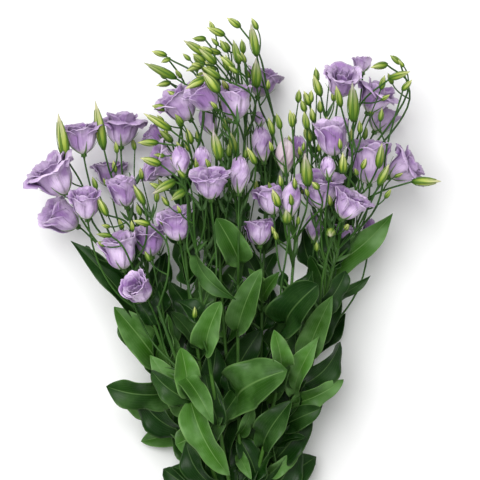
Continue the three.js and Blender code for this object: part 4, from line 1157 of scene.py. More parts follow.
class ShaderGraph(NodeGraph):
    """Node graph of one material, with a principled surface at its end."""

    def __init__(self, name: str) -> None:
        """Starts an empty graph."""
        self.material = bpy.data.materials.new(name)
        self.material.use_nodes = True
        self.tree = self.material.node_tree
        self.tree.nodes.clear()

    def attribute(self, name: str) -> Value:
        """Number stored on the mesh under this name."""
        return Value(self, self.node("ShaderNodeAttribute", None, "Fac", attribute_name=name))

    def uv(self) -> tuple[Value, Value]:
        """The piece's own u and v."""
        u = self.node("ShaderNodeSeparateXYZ", {0: self.node("ShaderNodeUVMap")})
        return Value(self, u), Value(self, u.node.outputs[1])

    def place(self, scale: Colour = (1.0, 1.0, 1.0)) -> bpy.types.NodeSocket:
        """Object coordinates, stretched by a factor along each axis."""
        where = self.node("ShaderNodeTexCoord", None, "Object")
        return self.node("ShaderNodeMapping", {"Vector": where, "Scale": scale})

    def joined(self, x: Value, y: Value, z: Value) -> bpy.types.NodeSocket:
        """Vector from three numbers."""
        return self.node("ShaderNodeCombineXYZ", {0: x, 1: y, 2: z})

    def noise(self, where: bpy.types.NodeSocket, scale: float, detail: float = 3.0) -> Value:
        """Cloudy noise round one half."""
        ends = {"Vector": where, "Scale": scale, "Detail": detail}
        return Value(self, self.node("ShaderNodeTexNoise", ends, "Fac"))

    def blend(self, share: Value | float, first: object, second: object) -> bpy.types.NodeSocket:
        """Colour a share of the way from the first to the second, each a colour or a socket."""
        start, end = ((*each, 1.0) if isinstance(each, tuple) else each for each in (first, second))
        return self.node("ShaderNodeMix", {0: share, 6: start, 7: end}, 2, data_type="RGBA")

    def bump(self, height: Value, strength: float, distance: float) -> bpy.types.NodeSocket:
        """Normal bent by a height, with a strength and a depth in metres."""
        return self.node("ShaderNodeBump", {"Height": height, "Strength": strength, "Distance": distance})

    def surface(self, **inputs: object) -> bpy.types.Material:
        """Ends the graph in a principled surface.

        Args:
            inputs: Its inputs, with underscores for the spaces in their names.

        Returns:
            The finished material.
        """
        named = {key.replace("_", " "): value for key, value in inputs.items()}
        shader = self.node("ShaderNodeBsdfPrincipled", named)
        self.tree.links.new(shader, self.tree.nodes.new("ShaderNodeOutputMaterial").inputs["Surface"])
        return self.material


# ---------------- finishes


@dataclass(frozen=True)
class PetalFinish:
    """Satin petal: a pale throat that is partly a painted glow, fine veins that fan out, a soft flush that
    differs by petal, painted highlights on the rims and bellies, and painted shade on the inner whorls and
    on blooms that sit low.
    """

    name: str = "lavender_petal"
    body: Colour = (0.32, 0.165, 0.43)
    light: Colour = (0.87, 0.70, 0.95)
    deep: Colour = (0.085, 0.026, 0.14)
    throat_and_glow: Colour = (0.72, 0.72, 0.58)
    veins: float = 34.0

    def material(self) -> bpy.types.Material:
        """Makes the material."""
        graph = ShaderGraph(self.name)
        u, v = graph.uv()
        flush = graph.noise(graph.place(), 42.0)
        tint = graph.attribute("tint")
        inner = graph.attribute("whorl")
        fan = graph.noise(graph.joined(u * self.veins, v * 2.2, tint * 9.0), 1.0, 2.0)
        crinkle = graph.noise(graph.joined(u * 7.0, v * 3.5, tint * 7.0), 1.0, 4.0)
        patches = flush.ramp(0.38, 0.66)
        base = graph.blend(patches * 0.65 + tint * 0.35, self.body, self.light)
        lined = graph.blend(fan.ramp(0.52, 0.75) * 0.50, base, self.deep)
        # painted highlight: the petals are made lighter towards their rims
        edge = graph.blend(v.ramp(0.90, 1.0) * 0.45, lined, self.light)
        # painted shade: the inner whorls, deep in the cup, are made darker
        inner_shade = graph.blend(inner * 0.62, edge, self.deep)
        # painted highlight: broad pale patches low on the bellies of the outer petals
        belly_highlight = graph.blend(v.ramp(0.66, 0.2) * (0.10 + 0.7 * patches) * (1.0 - inner), inner_shade, self.light)
        shaded = graph.blend(graph.attribute("shade") * 0.55, belly_highlight, self.deep)
        # pale throat: partly the petals' own greenish-white base, partly a painted glow of light through
        # the petals
        pale = graph.blend(v.ramp(0.30, 0.02) * 0.85, shaded, self.throat_and_glow)
        return graph.surface(
            Base_Color=pale,
            Roughness=fan * 0.16 + 0.34,
            Normal=graph.bump(crinkle + fan * 0.3, 0.7, 0.0020),
            Specular_IOR_Level=0.25,
            Subsurface_Weight=0.08,
            Subsurface_Radius=(0.004, 0.003, 0.005),
            Sheen_Weight=0.12,
            Sheen_Roughness=0.5,
        )


@dataclass(frozen=True)
class LeafFinish:
    """Waxy leaf: a pale midrib with parallel veins, blue-green bloom mixed with painted sheen, a lighter
    underside, and painted shade on leaves with low tints.
    """

    name: str = "leaf"
    body: Colour = (0.005, 0.030, 0.002)
    light: Colour = (0.052, 0.170, 0.012)
    # bloom: the leaf's own waxy blue-green bloom, also used for painted sheen
    bloom: Colour = (0.175, 0.330, 0.115)
    rib: Colour = (0.17, 0.31, 0.09)

    def material(self) -> bpy.types.Material:
        """Makes the material."""
        graph = ShaderGraph(self.name)
        u, v = graph.uv()
        tint = graph.attribute("tint")
        under = graph.attribute("under")
        mottle = graph.noise(graph.place(), 30.0, 3.0)
        across = (u - 0.5).size() * 2.0
        tint_share = tint.ramp(0.0, 1.0)
        lanes = ((across + (v - 0.5) * (v - 0.5) * 0.5) * 20.0).wave().size()
        side_veins = lanes.ramp(0.16, 0.0) * across.ramp(0.98, 0.7)
        midrib = across.ramp(0.065, 0.015)
        # a leaf's tint sets how light it is: random tone on the front leaves, painted shade on the dark
        # back pairs
        body = graph.blend((mottle * 0.5 + tint * 0.9 - 0.25).ramp(0.0, 1.0), self.body, self.light)
        # the leaf's own waxy bloom in cloudy patches, with painted sheen that grows on lighter leaves and
        # towards the edges
        bloom_and_sheen = mottle.ramp(0.40, 0.75) * (0.06 + 0.62 * tint_share) + across.ramp(0.1, 1.0) * tint_share * 0.25
        bloomed_and_sheened = graph.blend(bloom_and_sheen + under * 0.35, body, self.bloom)
        veined = graph.blend(side_veins * (0.10 + 0.24 * tint_share), bloomed_and_sheened, self.rib)
        ribbed = graph.blend(midrib * (0.30 + 0.4 * tint_share), veined, self.rib)
        margined = graph.blend(across.ramp(0.90, 0.98) * (0.20 + 0.45 * tint_share), ribbed, self.rib)
        relief = 1.0 - midrib * 0.8 - side_veins * 0.5
        return graph.surface(
            Base_Color=margined,
            Roughness=mottle * 0.2 + 0.30,
            Specular_IOR_Level=0.18,
            Normal=graph.bump(relief, 0.6, 0.0008),
            Subsurface_Weight=0.05,
            Subsurface_Radius=(0.002, 0.004, 0.001),
        )


@dataclass(frozen=True)
class StemFinish:
    """Smooth green stem with fine lengthwise lines, pale where it is cut, and painted light and shade:
    lighter at its foot, darker towards its top and on the stalks.
    """

    name: str = "stem"
    body: Colour = (0.018, 0.062, 0.008)
    light: Colour = (0.080, 0.195, 0.028)
    cut: Colour = (0.50, 0.58, 0.30)

    def material(self) -> bpy.types.Material:
        """Makes the material."""
        graph = ShaderGraph(self.name)
        lines = graph.noise(graph.place((1.0, 0.03, 1.0)), 900.0, 2.0)
        patches = graph.noise(graph.place(), 30.0)
        young = graph.attribute("young")
        # painted light and shade: by the young share the stem is lighter at its foot and darker towards its
        # top and on every stalk
        body = graph.blend(patches.ramp(0.3, 0.7) * 0.35 + (1.0 - young) * 0.65, self.body, self.light)
        lined = graph.blend(lines.ramp(0.5, 0.8) * 0.3, body, self.light)
        ended = graph.blend(graph.attribute("cut").ramp(0.5, 0.9), lined, self.cut)
        return graph.surface(
            Base_Color=ended,
            Roughness=patches * 0.2 + 0.36,
            Specular_IOR_Level=0.2,
            Normal=graph.bump(lines, 0.3, 0.0003),
        )


@dataclass(frozen=True)
class BudFinish:
    """Closed bud: green at its foot, yellow-green above, and a flush of petal colour at a ripe tip."""

    name: str = "bud"
    foot: Colour = (0.060, 0.150, 0.012)
    middle: Colour = (0.33, 0.43, 0.050)
    pale: Colour = (0.66, 0.68, 0.27)
    ripe: Colour = (0.46, 0.33, 0.50)

    def material(self) -> bpy.types.Material:
        """Makes the material."""
        graph = ShaderGraph(self.name)
        _, v = graph.uv()
        ripeness = graph.attribute("ripe")
        cloudy = graph.noise(graph.place(), 160.0)
        twist = graph.attribute("fold")
        tint = graph.attribute("tint")
        aged = graph.blend(tint * 0.70, self.middle, self.foot)
        green = graph.blend(v.ramp(0.0, 0.38), self.foot, aged)
        sunlit = v.ramp(0.25, 0.85) * (cloudy * 0.4 + 0.75) * (1.0 - tint * 0.75)
        lit = graph.blend(sunlit, green, self.pale)
        flushed = graph.blend(v.ramp(0.42, 1.0) * ripeness, lit, self.ripe)
        seamed = graph.blend(twist.ramp(0.3, 1.0) * 0.42, flushed, self.foot)
        return graph.surface(
            Base_Color=seamed,
            Roughness=cloudy * 0.15 + 0.38,
            Specular_IOR_Level=0.25,
            Normal=graph.bump(cloudy, 0.2, 0.0003),
        )


@dataclass(frozen=True)
class SepalFinish:
    """Thin green sepal or bract, paler along its middle."""

    name: str = "sepal"
    body: Colour = (0.045, 0.13, 0.02)
    light: Colour = (0.16, 0.29, 0.055)

    def material(self) -> bpy.types.Material:
        """Makes the material."""
        graph = ShaderGraph(self.name)
        u, v = graph.uv()
        cloudy = graph.noise(graph.place(), 120.0)
        keel = ((u - 0.5).size() * 2.0).ramp(0.4, 0.0)
        body = graph.blend(v * 0.6 + cloudy * 0.3, self.body, self.light)
        keeled = graph.blend(keel * 0.5, body, self.light)
        relief = graph.bump(keel, 0.4, 0.0003)
        return graph.surface(Base_Color=keeled, Roughness=cloudy * 0.2 + 0.4, Normal=relief)


@dataclass(frozen=True)
class RaffiaFinish:
    """Dry raffia with long pale fibres."""

    name: str = "raffia"
    body: Colour = (0.50, 0.34, 0.15)
    light: Colour = (0.78, 0.63, 0.38)

    def material(self) -> bpy.types.Material:
        """Makes the material."""
        graph = ShaderGraph(self.name)
        fibres = graph.noise(graph.place((1.0, 9.0, 1.0)), 420.0, 4.0)
        patches = graph.noise(graph.place(), 90.0)
        fibred = graph.blend(fibres.ramp(0.3, 0.75), self.body, self.light)
        return graph.surface(
            Base_Color=graph.blend(patches.ramp(0.4, 0.9) * 0.4, fibred, self.body),
            Roughness=fibres * 0.2 + 0.62,
            Normal=graph.bump(fibres, 0.6, 0.0004),
        )


@dataclass(frozen=True)
class TableFinish:
    """Plain pale table."""

    name: str = "table"
    body: Colour = (0.95, 0.95, 0.95)

    def material(self) -> bpy.types.Material:
        """Makes the material."""
        graph = ShaderGraph(self.name)
        return graph.surface(Base_Color=(*self.body, 1.0), Roughness=0.9)


# ---------------- the parts of the bunch


def ride_as(piece: bpy.types.Object, slot: str, *nodes: str) -> None:
    """Lets a finished piece ride on the bunch and stand for its solids, which it hides."""
    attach(piece, BODY)
    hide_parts(*nodes)
    LOG.info("%s: %d faces", piece.name, len(piece.data.polygons))


@dataclass
class Stalks:
    """Stems with their branches, swept along their routes."""

    sides: int = 11
    steps: int = 5
    cut_depth: float = 0.4
    young_girth: float = 0.72
    calyx_drops: tuple[float, ...] = (5.0, 3.0, SEAT_GAP)
    calyx_radii: tuple[float, ...] = (1.5, CALYX_RADIUS, CALYX_RADIUS * 0.9)
    finish: StemFinish = StemFinish()

    def build(self, routes: Routes) -> None:
        """Makes one piece per stem, with the stalks of its blooms and buds."""
        tree = sweep_tree()
        material = self.finish.material()
        for row in STEMS:
            lines, girths, cuts, young = self.lines_of(row, routes)
            source = polylines(row.name, lines, self.steps, girth=girths, cut=cuts, young=young)
            piece = tree.run(f"{row.name}_stalks", source, Sides=self.sides, Material=material)
            ride_as(piece, "green", row.name)

    def lines_of(self, row: StemRow, routes: Routes) -> tuple[list[Array], ...]:
        """Gathers the lines of one stem and its stalks.

        Args:
            row: The stem.
            routes: Routes of every stem and stalk.

        Returns:
            The lines and, at each of their points, girth in metres, whether it is cut, and a share from
            foot to top that the finish uses for painted light and shade.
        """
        spine = routes.spines[row.name]
        foot = spine[0] + unit(spine[1] - spine[0]) * self.cut_depth
        share = np.linspace(0, 1, len(spine))
        girth = mix(STEM_RADIUS_FOOT, STEM_RADIUS_TOP, share) * MM
        lines = [np.vstack([spine[:1], foot, spine[1:]])]
        girths = [np.insert(girth, 1, girth[0])]
        for bloom, stalk in zip(BLOOMS, routes.bloom_stalks):
            if bloom.on == row.name:
                seat = Seat.of(bloom)
                swell = [seat.base - seat.axis * drop for drop in self.calyx_drops]
                lines.append(np.vstack([stalk, *swell]))
                girths.append(np.r_[self.taper(stalk), np.array(self.calyx_radii) * MM])
        thin = [(bud.on, stalk, 1.0) for bud, stalk in zip(BUDS, routes.bud_stalks)]
        thin += [(side.on, side.line, self.young_girth) for side in routes.young]
        for on, stalk, share_of_girth in thin:
            if on == row.name:
                lines.append(stalk)
                girths.append(self.taper(stalk) * share_of_girth)
        cuts = [np.r_[1.0, np.zeros(len(spine))], *(np.zeros(len(line)) for line in lines[1:])]
        # young runs from 0 at the foot to 1 at the top and on every stalk; the finish darkens it as painted
        # shade
        young = [np.r_[0.0, share], *(np.ones(len(line)) for line in lines[1:])]
        return lines, girths, cuts, young

    def taper(self, stalk: Array) -> Array:
        """Girth of a stalk in metres, from its fork to its end."""
        return np.linspace(BRANCH_RADIUS_START, BRANCH_RADIUS_END, len(stalk)) * MM


@dataclass
class Leaves:
    """Clasping leaves with folded, waved blades."""

    grid: tuple[int, int] = (26, 15)
    thickness: float = 0.55
    stations: tuple[float, ...] = (0.0, 0.06, 0.14, 0.26, 0.42, 0.58, 0.74, 0.87, 0.95, 1.0)
    slender: tuple[float, ...] = (0.38, 0.66, 0.88, 1.0, 1.0, 0.92, 0.72, 0.42, 0.18, 0.01)
    rounded: tuple[float, ...] = (0.50, 0.80, 0.95, 1.0, 1.0, 1.0, 0.92, 0.68, 0.38, 0.01)
    roundness: tuple[float, float] = (0.38, 0.66)
    pair_grid: tuple[int, int] = (17, 9)
    first_pair: float = 112.0
    last_pair: float = 520.0
    pair_step: float = 47.0
    pair_stagger: float = 9.0
    pair_turn: float = 38.0
    pair_sizes: tuple[float, float] = (0.8, 1.15)
    bare_top: float = 20.0
    pair_lengths: tuple[float, float] = (86.0, 44.0)
    pair_width: float = 0.50
    front_tints: tuple[float, float] = (0.05, 1.0)
    shaded_back_tints: tuple[float, float] = (-0.3, 0.35)
    upper_layer: float = 0.4
    upper_length: float = 0.72
    upper_step: float = 2.3
    pair_leans: tuple[float, float] = (0.25, 0.75)
    pair_roll: float = 40.0
    pair_fold: float = 20.0
    pair_wave: float = 3.0
    lowest_tip: float = 7.0
    highest_rise: float = 8.0
    thin_edge: float = 0.5
    waves: tuple[float, float] = (1.9, 9.0)
    frills: tuple[float, float] = (0.3, 23.0)
    clasp: tuple[float, float] = (38.0, 0.07)
    finish: LeafFinish = LeafFinish()

    def build(self, routes: Routes) -> None:
        """Makes one piece per stem, with all its leaves."""
        material = self.finish.material()
        for number, stem in enumerate(STEMS):
            pile = MeshPile()
            for index, row in enumerate(LEAVES):
                if row.on == stem.name:
                    tint = mix(*self.front_tints, scattered(index))
                    self.add_leaf(pile, row, index, routes, self.grid, tint)
            for index, row in enumerate(self.pairs(stem, number, routes)):
                # the back pairs get low tints, which paint them dark as shade beneath the front leaves
                tint = mix(*self.shaded_back_tints, scattered(index))
                self.add_leaf(pile, row, 7 * number + index, routes, self.pair_grid, tint)
            ride_as(pile.build(f"{stem.name}_leaves", material), "green", stem.name)

    def pairs(self, stem: StemRow, number: int, routes: Routes) -> list[LeafRow]:
        """Lower leaves that sit in opposite pairs along a stem, each pair square to the one below.

        Args:
            stem: The stem.
            number: Its place in the table of stems.
            routes: Routes of all the stems.

        Returns:
            One row per leaf.
        """
        rows = []
        spine = routes.spines[stem.name]
        upper = stem.slot[1] > self.upper_layer
        height = self.first_pair + self.pair_stagger * (number % 5)
        top = min(self.last_pair, spine[-1][1] - self.bare_top)
        while height < top:
            base, direction = point_at_height(spine, height)
            level = (height - self.first_pair) / (self.last_pair - self.first_pair)
            quarter = math.radians(90 * (len(rows) // 2) + self.pair_turn * number)
            across = beside(direction)
            upward = np.cross(across, direction)
            for side in (-1, 1):
                swing = 0.5 + 0.5 * math.sin(3.1 * len(rows) + 1.7 * number)
                length = mix(*self.pair_lengths, level) * mix(*self.pair_sizes, swing)
                length *= self.upper_length if upper else 1.0
                away = across * math.cos(quarter) * side - upward * 0.6 * abs(math.sin(quarter))
                aim = unit(direction + away * mix(*self.pair_leans, swing))
                tip = base + aim * length
                tip[2] = min(max(tip[2], self.lowest_tip), base[2] + self.highest_rise)
                roll = self.pair_roll * math.sin(2.3 * len(rows) + number)
                shape = (length * self.pair_width, roll, 0.12 + 0.1 * swing, self.pair_fold, self.pair_wave)
                rows.append(LeafRow(stem.name, height, tuple(tip), *shape))
            height += self.pair_step * (self.upper_step if upper else 1.0)
        return rows

    def add_leaf(
        self, pile: MeshPile, row: LeafRow, index: int, routes: Routes, grid: tuple[int, int], tint: float
    ) -> None:
        """Adds one leaf to a pile.

        Args:
            pile: The pile.
            row: The leaf.
            index: Its number, which sets where its waves fall.
            routes: Routes of all the stems.
            grid: Number of points along it and across it.
            tint: How light it is, from 0 to 1; low tints on the back pairs are painted shade.
        """
        base, _ = point_at_height(routes.spines[row.on], row.height)
        u, v = grid_shares(*grid)
        thickness = self.thickness * (1 - self.thin_edge * u**2) * np.ones((grid[0], 1))
        points, faces, uv = sheet(self.blade(row, base, index, u[..., None], v[..., None]), thickness)
        under = np.repeat([0.0, 1.0], grid[0] * grid[1])
        pile.add(points, faces, uv, under=under, tint=tint)

    def blade(self, row: LeafRow, base: Array, index: int, u: Array, v: Array) -> Array:
        """Grid of points of a leaf's middle surface, from its base to its tip.

        Args:
            row: The leaf.
            base: Where it clasps its stem.
            index: Its number, which sets where its waves fall.
            u: Places across it, from -1 to 1.
            v: Places along it, from 0 to 1.

        Returns:
            Rows by columns of points.
        """
        tip = np.array(row.tip, float)
        length = np.linalg.norm(tip - base)
        along = unit(tip - base)
        face = unit(np.array(UPWARD) - along * along[2])
        roll = math.radians(row.roll)
        face = face * math.cos(roll) + np.cross(along, face) * math.sin(roll)
        side = math.copysign(1, tip[2] - base[2])
        root = base + face * side * LEAF_ROOT_OFFSET
        knee = (base + tip) / 2 + face * 2 * side * row.arch * length
        tangent = unit(2 * (1 - v) * (knee - root) + 2 * v * (tip - knee))
        normal = unit(face - tangent * (tangent * face).sum(-1, keepdims=True))
        least, most = self.roundness
        share = min(max((row.width / length - least) / (most - least), 0.0), 1.0)
        widths = mix(np.array(self.slender), np.array(self.rounded), share)
        width = smooth_curve(self.stations, widths, v[..., 0])[..., None]
        half = width * row.width / 2
        reach = np.abs(u)
        swell, turns = self.waves
        swing = swell * row.wave * reach**1.8 * width * np.sin(turns * v + index + np.sign(u))
        swell, turns = self.frills
        frill = swell * row.wave * reach**3 * width * np.sin(turns * v + 2.0 * index + 1.7 * np.sign(u))
        steeper, clasped = self.clasp
        fold = np.radians(row.fold + steeper * np.exp(-v / clasped))
        rise = reach**1.35 * half * np.sin(fold) + swing + frill
        spread = np.cross(tangent, normal) * u * half * np.cos(fold)
        return bow(root, knee, tip, v) + spread + normal * rise


@dataclass(frozen=True)
class Whorl:
    """One ring of petals: how many, how long, how far it leans out and how far in it is set."""

    petals: int
    length: float
    lean: float
    inset: float
    span: float
    turn: float = 0.0


@dataclass
class Blooms:
    """Blooms with whorls of thin ruffled petals that overlap in a spiral."""

    rows: int = 14
    columns: int = 14
    thickness: float = 0.45
    overlap: float = 1.9
    unevenness: float = 0.06
    small: float = 30.0
    bright_height: float = 140.0
    rounding: float = 0.27
    shut_rounding: float = 0.34
    least_radius: float = 0.25
    curl: float = 0.07
    curl_start: float = 0.78
    twist: float = 0.30
    shut_twist: float = 75.0
    lobes: tuple[float, float] = (1.25, 2.9)
    frill: tuple[float, float] = (0.22, 6.3)
    pleat: tuple[float, float] = (0.35, 2.2)
    notches: tuple[float, float] = (0.012, 19.0)
    full: tuple[Whorl, ...] = (
        Whorl(5, 1.0, 1.0, 0.0, 60),
        Whorl(5, 0.97, 0.70, 1.7, 58, 36),
        Whorl(4, 0.88, 0.36, 3.0, 58, 10),
        Whorl(3, 0.76, 0.02, 3.8, 62, 50),
    )
    plain: tuple[Whorl, ...] = (
        Whorl(5, 1.0, 1.0, 0.0, 58),
        Whorl(5, 0.97, 0.6, 1.6, 56, 36),
        Whorl(3, 0.82, 0.2, 2.6, 62, 15),
    )
    shut: tuple[Whorl, ...] = (Whorl(5, 1.0, 1.0, 0.0, 60), Whorl(3, 0.97, 0.75, 1.2, 70, 30))
    finish: PetalFinish = PetalFinish()
    pale_finish: PetalFinish = PetalFinish(
        "pale_petal", (0.56, 0.42, 0.50), (0.84, 0.76, 0.78), (0.30, 0.18, 0.26), (0.80, 0.80, 0.64)
    )

    def build(self) -> None:
        """Makes one piece per bloom."""
        lavender = self.finish.material()
        pale = self.pale_finish.material()
        for index, row in enumerate(BLOOMS):
            piece = self.bloom(row, index).build(f"{row.name}_petals", pale if row.pale else lavender)
            ride_as(piece, "pale_petals" if row.pale else "petals", row.name)

    def whorls_of(self, row: BloomRow) -> tuple[Whorl, ...]:
        """Rings of petals that a bloom has."""
        if row.form is CLOSED:
            return self.shut
        return self.full if row.petal >= self.small else self.plain

    def bloom(self, row: BloomRow, index: int) -> MeshPile:
        """Makes all the petals of one bloom.

        Args:
            row: The bloom.
            index: Its place in the table, which turns it and sets its shade.

        Returns:
            The pile of its petals.
        """
        pile = MeshPile()
        seat = Seat.of(row)
        # shade: painted shade, heavier on blooms that sit low near the table, plus a little random tone
        shade = 0.7 * max(0.0, 1 - row.base[2] / self.bright_height) + 0.2 * scattered(index)
        for ring, whorl in enumerate(self.whorls_of(row)):
            share = ring / (len(self.full) - 1)
            for k in range(whorl.petals):
                turn = 360 * k / whorl.petals + BLOOM_TURN * index + whorl.turn
                middle = self.petal(row, seat, whorl, math.radians(turn), 1.7 * index + 2.3 * k + ring)
                tint = (GOLDEN * (k + 3 * ring) + 0.37 * index) % 1
                pile.add(*sheet(middle, self.thickness), tint=tint, whorl=share, shade=shade)
        return pile

    def petal(self, row: BloomRow, seat: Seat, whorl: Whorl, turn: float, phase: float) -> Array:
        """Grid of points of a petal's middle surface, from its root to its rim.

        Args:
            row: The bloom.
            seat: Where it sits.
            whorl: The ring that the petal belongs to.
            turn: Angle of the petal's middle round the axis.
            phase: Sets where its ruffles fall.

        Returns:
            Rows by columns of points.
        """
        root, middle, rim, ruffle = row.form.value
        own = math.sin(2.7 * phase + 0.6)
        lean = whorl.lean * (1 + 2 * self.unevenness * own)
        form = (root * mix(0.6, 1, whorl.lean), middle * lean, rim * lean)
        length = row.petal * whorl.length * (1 - self.unevenness * (0.5 + 0.5 * math.sin(4.3 * phase)))
        u, v = grid_shares(self.rows, self.columns)
        shut = row.form is CLOSED
        rounding = self.shut_rounding if shut else self.rounding
        share = v * (1 - rounding * np.abs(u) ** 2.6 * ease(v)) * (1 + 0.035 * np.sin(5 * u + phase) * v)
        share = share - self.notches[0] * v**6 * (1 + np.sin(self.notches[1] * u + 3 * phase))
        radius, height, angle = petal_profile(form, length, share)
        curl = 0.0 if shut else (self.curl + 0.05 * own) * length
        rim_share = np.clip((v - self.curl_start) / (1 - self.curl_start), 0, 1)
        roll = curl * rim_share**2 * mix(0.4, 1.0, whorl.lean)
        opened = np.minimum(1, share / OVERLAP_FULL)
        step = self.overlap * u * opened * (np.sin(math.pi * v) if shut else 1)
        broad, narrow = (math.pi * turns * u for turns in self.lobes)
        lobes = np.sin(broad + phase) + 0.45 * np.sin(narrow + 1.9 * phase)
        frill = self.frill[0] * np.sin(math.pi * self.frill[1] * u + 2.4 * phase) * v**3
        pleat = self.pleat[0] * np.cos(math.pi * self.pleat[1] * u + 3.1 * phase)
        pleat = pleat * np.sin(math.pi * v) * ruffle / 2
        wave = ruffle * share**2.2 * (lobes * (0.7 + 0.5 * np.abs(u)) + frill) + pleat
        out = radius + step + (wave + roll) * np.cos(angle) - whorl.inset * opened
        rise = height - (wave + roll) * np.sin(angle) - 0.45 * roll
        twist = math.radians(self.shut_twist) * v**1.5 if shut else self.twist * v
        spread = np.radians(whorl.span) * mix(1.0, 1.0 if shut else 0.94, v)
        return seat.place(turn + u * spread + twist, np.maximum(out, self.least_radius), rise)


@dataclass
class Calyces:
    """Narrow sepals that hug the foot of each bloom."""

    sepals: int = 5
    turn: float = 31.0
    rows: int = 9
    columns: int = 5
    reach: float = 0.46
    width: float = 2.6
    thickness: float = 0.4
    foot: float = 0.12
    foot_depth: float = 4.0
    clearance: float = 0.5
    overlap: float = 1.5
    flare: float = 2.0
    flare_start: float = 0.6
    outline: tuple[tuple[float, ...], ...] = ((0.0, 0.15, 0.5, 1.0), (0.95, 1.0, 0.7, 0.06))
    finish: SepalFinish = SepalFinish()

    def build(self) -> None:
        """Makes one piece per stem, with the sepals of all its blooms."""
        material = self.finish.material()
        for stem in STEMS:
            pile = MeshPile()
            for index, row in enumerate(BLOOMS):
                if row.on == stem.name:
                    self.add_calyx(pile, row, index)
            if pile.count:
                ride_as(pile.build(f"{stem.name}_sepals", material), "green", stem.name)

    def add_calyx(self, pile: MeshPile, row: BloomRow, index: int) -> None:
        """Adds the sepals of one bloom to a pile, outside the overlapping edges of its petals.

        Args:
            pile: The pile.
            row: The bloom.
            index: Its place in the table, which turns it.
        """
        seat = Seat.of(row)
        u, v = grid_shares(self.rows, self.columns)
        share = np.clip((v - self.foot) / (1 - self.foot), 0, 1) * self.reach
        radius, height, _ = petal_profile(row.form.value, row.petal, share)
        lower = np.clip(1 - v / self.foot, 0, 1)
        flare = self.flare * np.clip((v - self.flare_start) / (1 - self.flare_start), 0, 1) ** 2
        cleared = radius + self.clearance + self.overlap * np.minimum(1, share / OVERLAP_FULL)
        out = cleared + flare + lower * 0.2 + 0 * u
        along = height - self.foot_depth * lower + 0 * u
        half = self.width / 2 * smooth_curve(*self.outline, v)
        for k in range(self.sepals):
            turn = math.radians(360 * k / self.sepals + BLOOM_TURN * index + self.turn)
            lean = 0.12 * math.sin(2.1 * k + index) * v
            middle = seat.place(turn + lean + u * half / np.maximum(out, 1), out, along)
            pile.add(*sheet(middle, self.thickness))


@dataclass
class Scattered:
    """Small shapes of one kind, which a tree sets on many places of every stem."""

    kind: str
    finish: BudFinish | SepalFinish

    def build(self, routes: Routes) -> None:
        """Makes one piece per stem that bears such shapes."""
        tree = scatter_tree()
        shape = self.template().build(f"{self.kind}_shape")
        material = self.finish.material()
        for stem in STEMS:
            places, values = self.places_on(stem.name, routes)
            if len(places):
                source = cloud(stem.name, places, values)
                piece = tree.run(f"{stem.name}_{self.kind}s", source, Shape=shape, Material=material)
                ride_as(piece, "green", stem.name)
        bpy.data.objects.remove(shape)

    def template(self) -> MeshPile:
        """Makes the shape, one unit long, standing along +Z."""
        raise NotImplementedError

    def places_on(self, stem: str, routes: Routes) -> tuple[Array, dict[str, Array]]:
        """Finds where a stem bears the shapes.

        Args:
            stem: Name of the stem.
            routes: Routes of every stem and stalk.

        Returns:
            The places, and the aim, size and other values at each.
        """
        raise NotImplementedError


@dataclass
class Buds(Scattered):
    """Closed buds, each a twisted spindle held by five narrow sepals."""

    kind: str = "bud"
    finish: BudFinish = BudFinish()
    sides: int = 10
    folds: int = 5
    fold_depth: float = 0.07
    twist: float = 7.0
    sepal_reach: float = 0.82
    sepal_grid: tuple[int, int] = (7, 3)
    sepal_half: float = 0.30
    sepal_thickness: float = 0.05
    ripe_width: float = 8.0
    plumpness: float = 1.16
    sunk: float = 0.6
    profile: tuple[tuple[float, float], ...] = (
        (0.0, 0.12), (0.05, 0.26), (0.13, 0.38), (0.24, 0.47), (0.36, 0.5), (0.5, 0.47),
        (0.63, 0.39), (0.75, 0.28), (0.86, 0.17), (0.94, 0.09), (1.0, 0.03),
    )

    def wind(self, angle: Array, height: Array) -> Array:
        """Height of the folds that wind round the bud, from -1 to 1."""
        return np.sin(self.folds * angle + self.twist * height)

    def template(self) -> MeshPile:
        """Makes a bud one unit long and one wide."""
        pile = MeshPile()
        stations = np.array(self.profile)
        points, faces, uv = spindle(stations, self.sides, lambda *at: 1 + self.fold_depth * self.wind(*at))
        fold = (1 - self.wind(np.arctan2(points[:, 1], points[:, 0]), points[:, 2])) / 2
        pile.add(points, faces, uv, fold=fold)
        height = np.linspace(0, self.sepal_reach, self.sepal_grid[0])[:, None]
        half = self.sepal_half - self.sepal_half * height
        across = np.linspace(-1, 1, self.sepal_grid[1])[None] * half
        radius = np.interp(height, stations[:, 0], stations[:, 1]) * 1.07 + 0.03
        for k in range(self.folds):
            angle = 2 * math.pi * (k + 0.5) / self.folds + 0.3 * height + across
            grid = np.stack([radius * np.cos(angle), radius * np.sin(angle), height + 0 * across], -1)
            points, faces, uv = sheet(grid, self.sepal_thickness)
            uv[:, 1] *= 0.25
            pile.add(points, faces, uv, fold=0.9)
        return pile

    def places_on(self, stem: str, routes: Routes) -> tuple[Array, dict[str, Array]]:
        """Feet of the buds on a stem, with petal colour only at the tips of the wide ones."""
        rows = [(*row.ends(), row.width) for row in BUDS if row.on == stem]
        rows += [(side.line[-1], side.tip, side.width) for side in routes.young if side.on == stem]
        base, tip, width = (np.array(column) for column in zip(*rows))
        aim = tip - base
        length = np.linalg.norm(aim, axis=1) + self.sunk
        width = width * self.plumpness
        order = np.arange(len(rows))
        ripe = np.clip((width - self.ripe_width) / 3.5, 0, 1) * (0.35 + 0.65 * scattered(order))
        values = {"aim": aim, "size": np.stack([width, width, length], 1) * MM}
        values |= {"spin": order * 1.3, "ripe": ripe, "tint": (order * 0.382 + 0.1) % 1}
        return base - unit(aim) * self.sunk, values


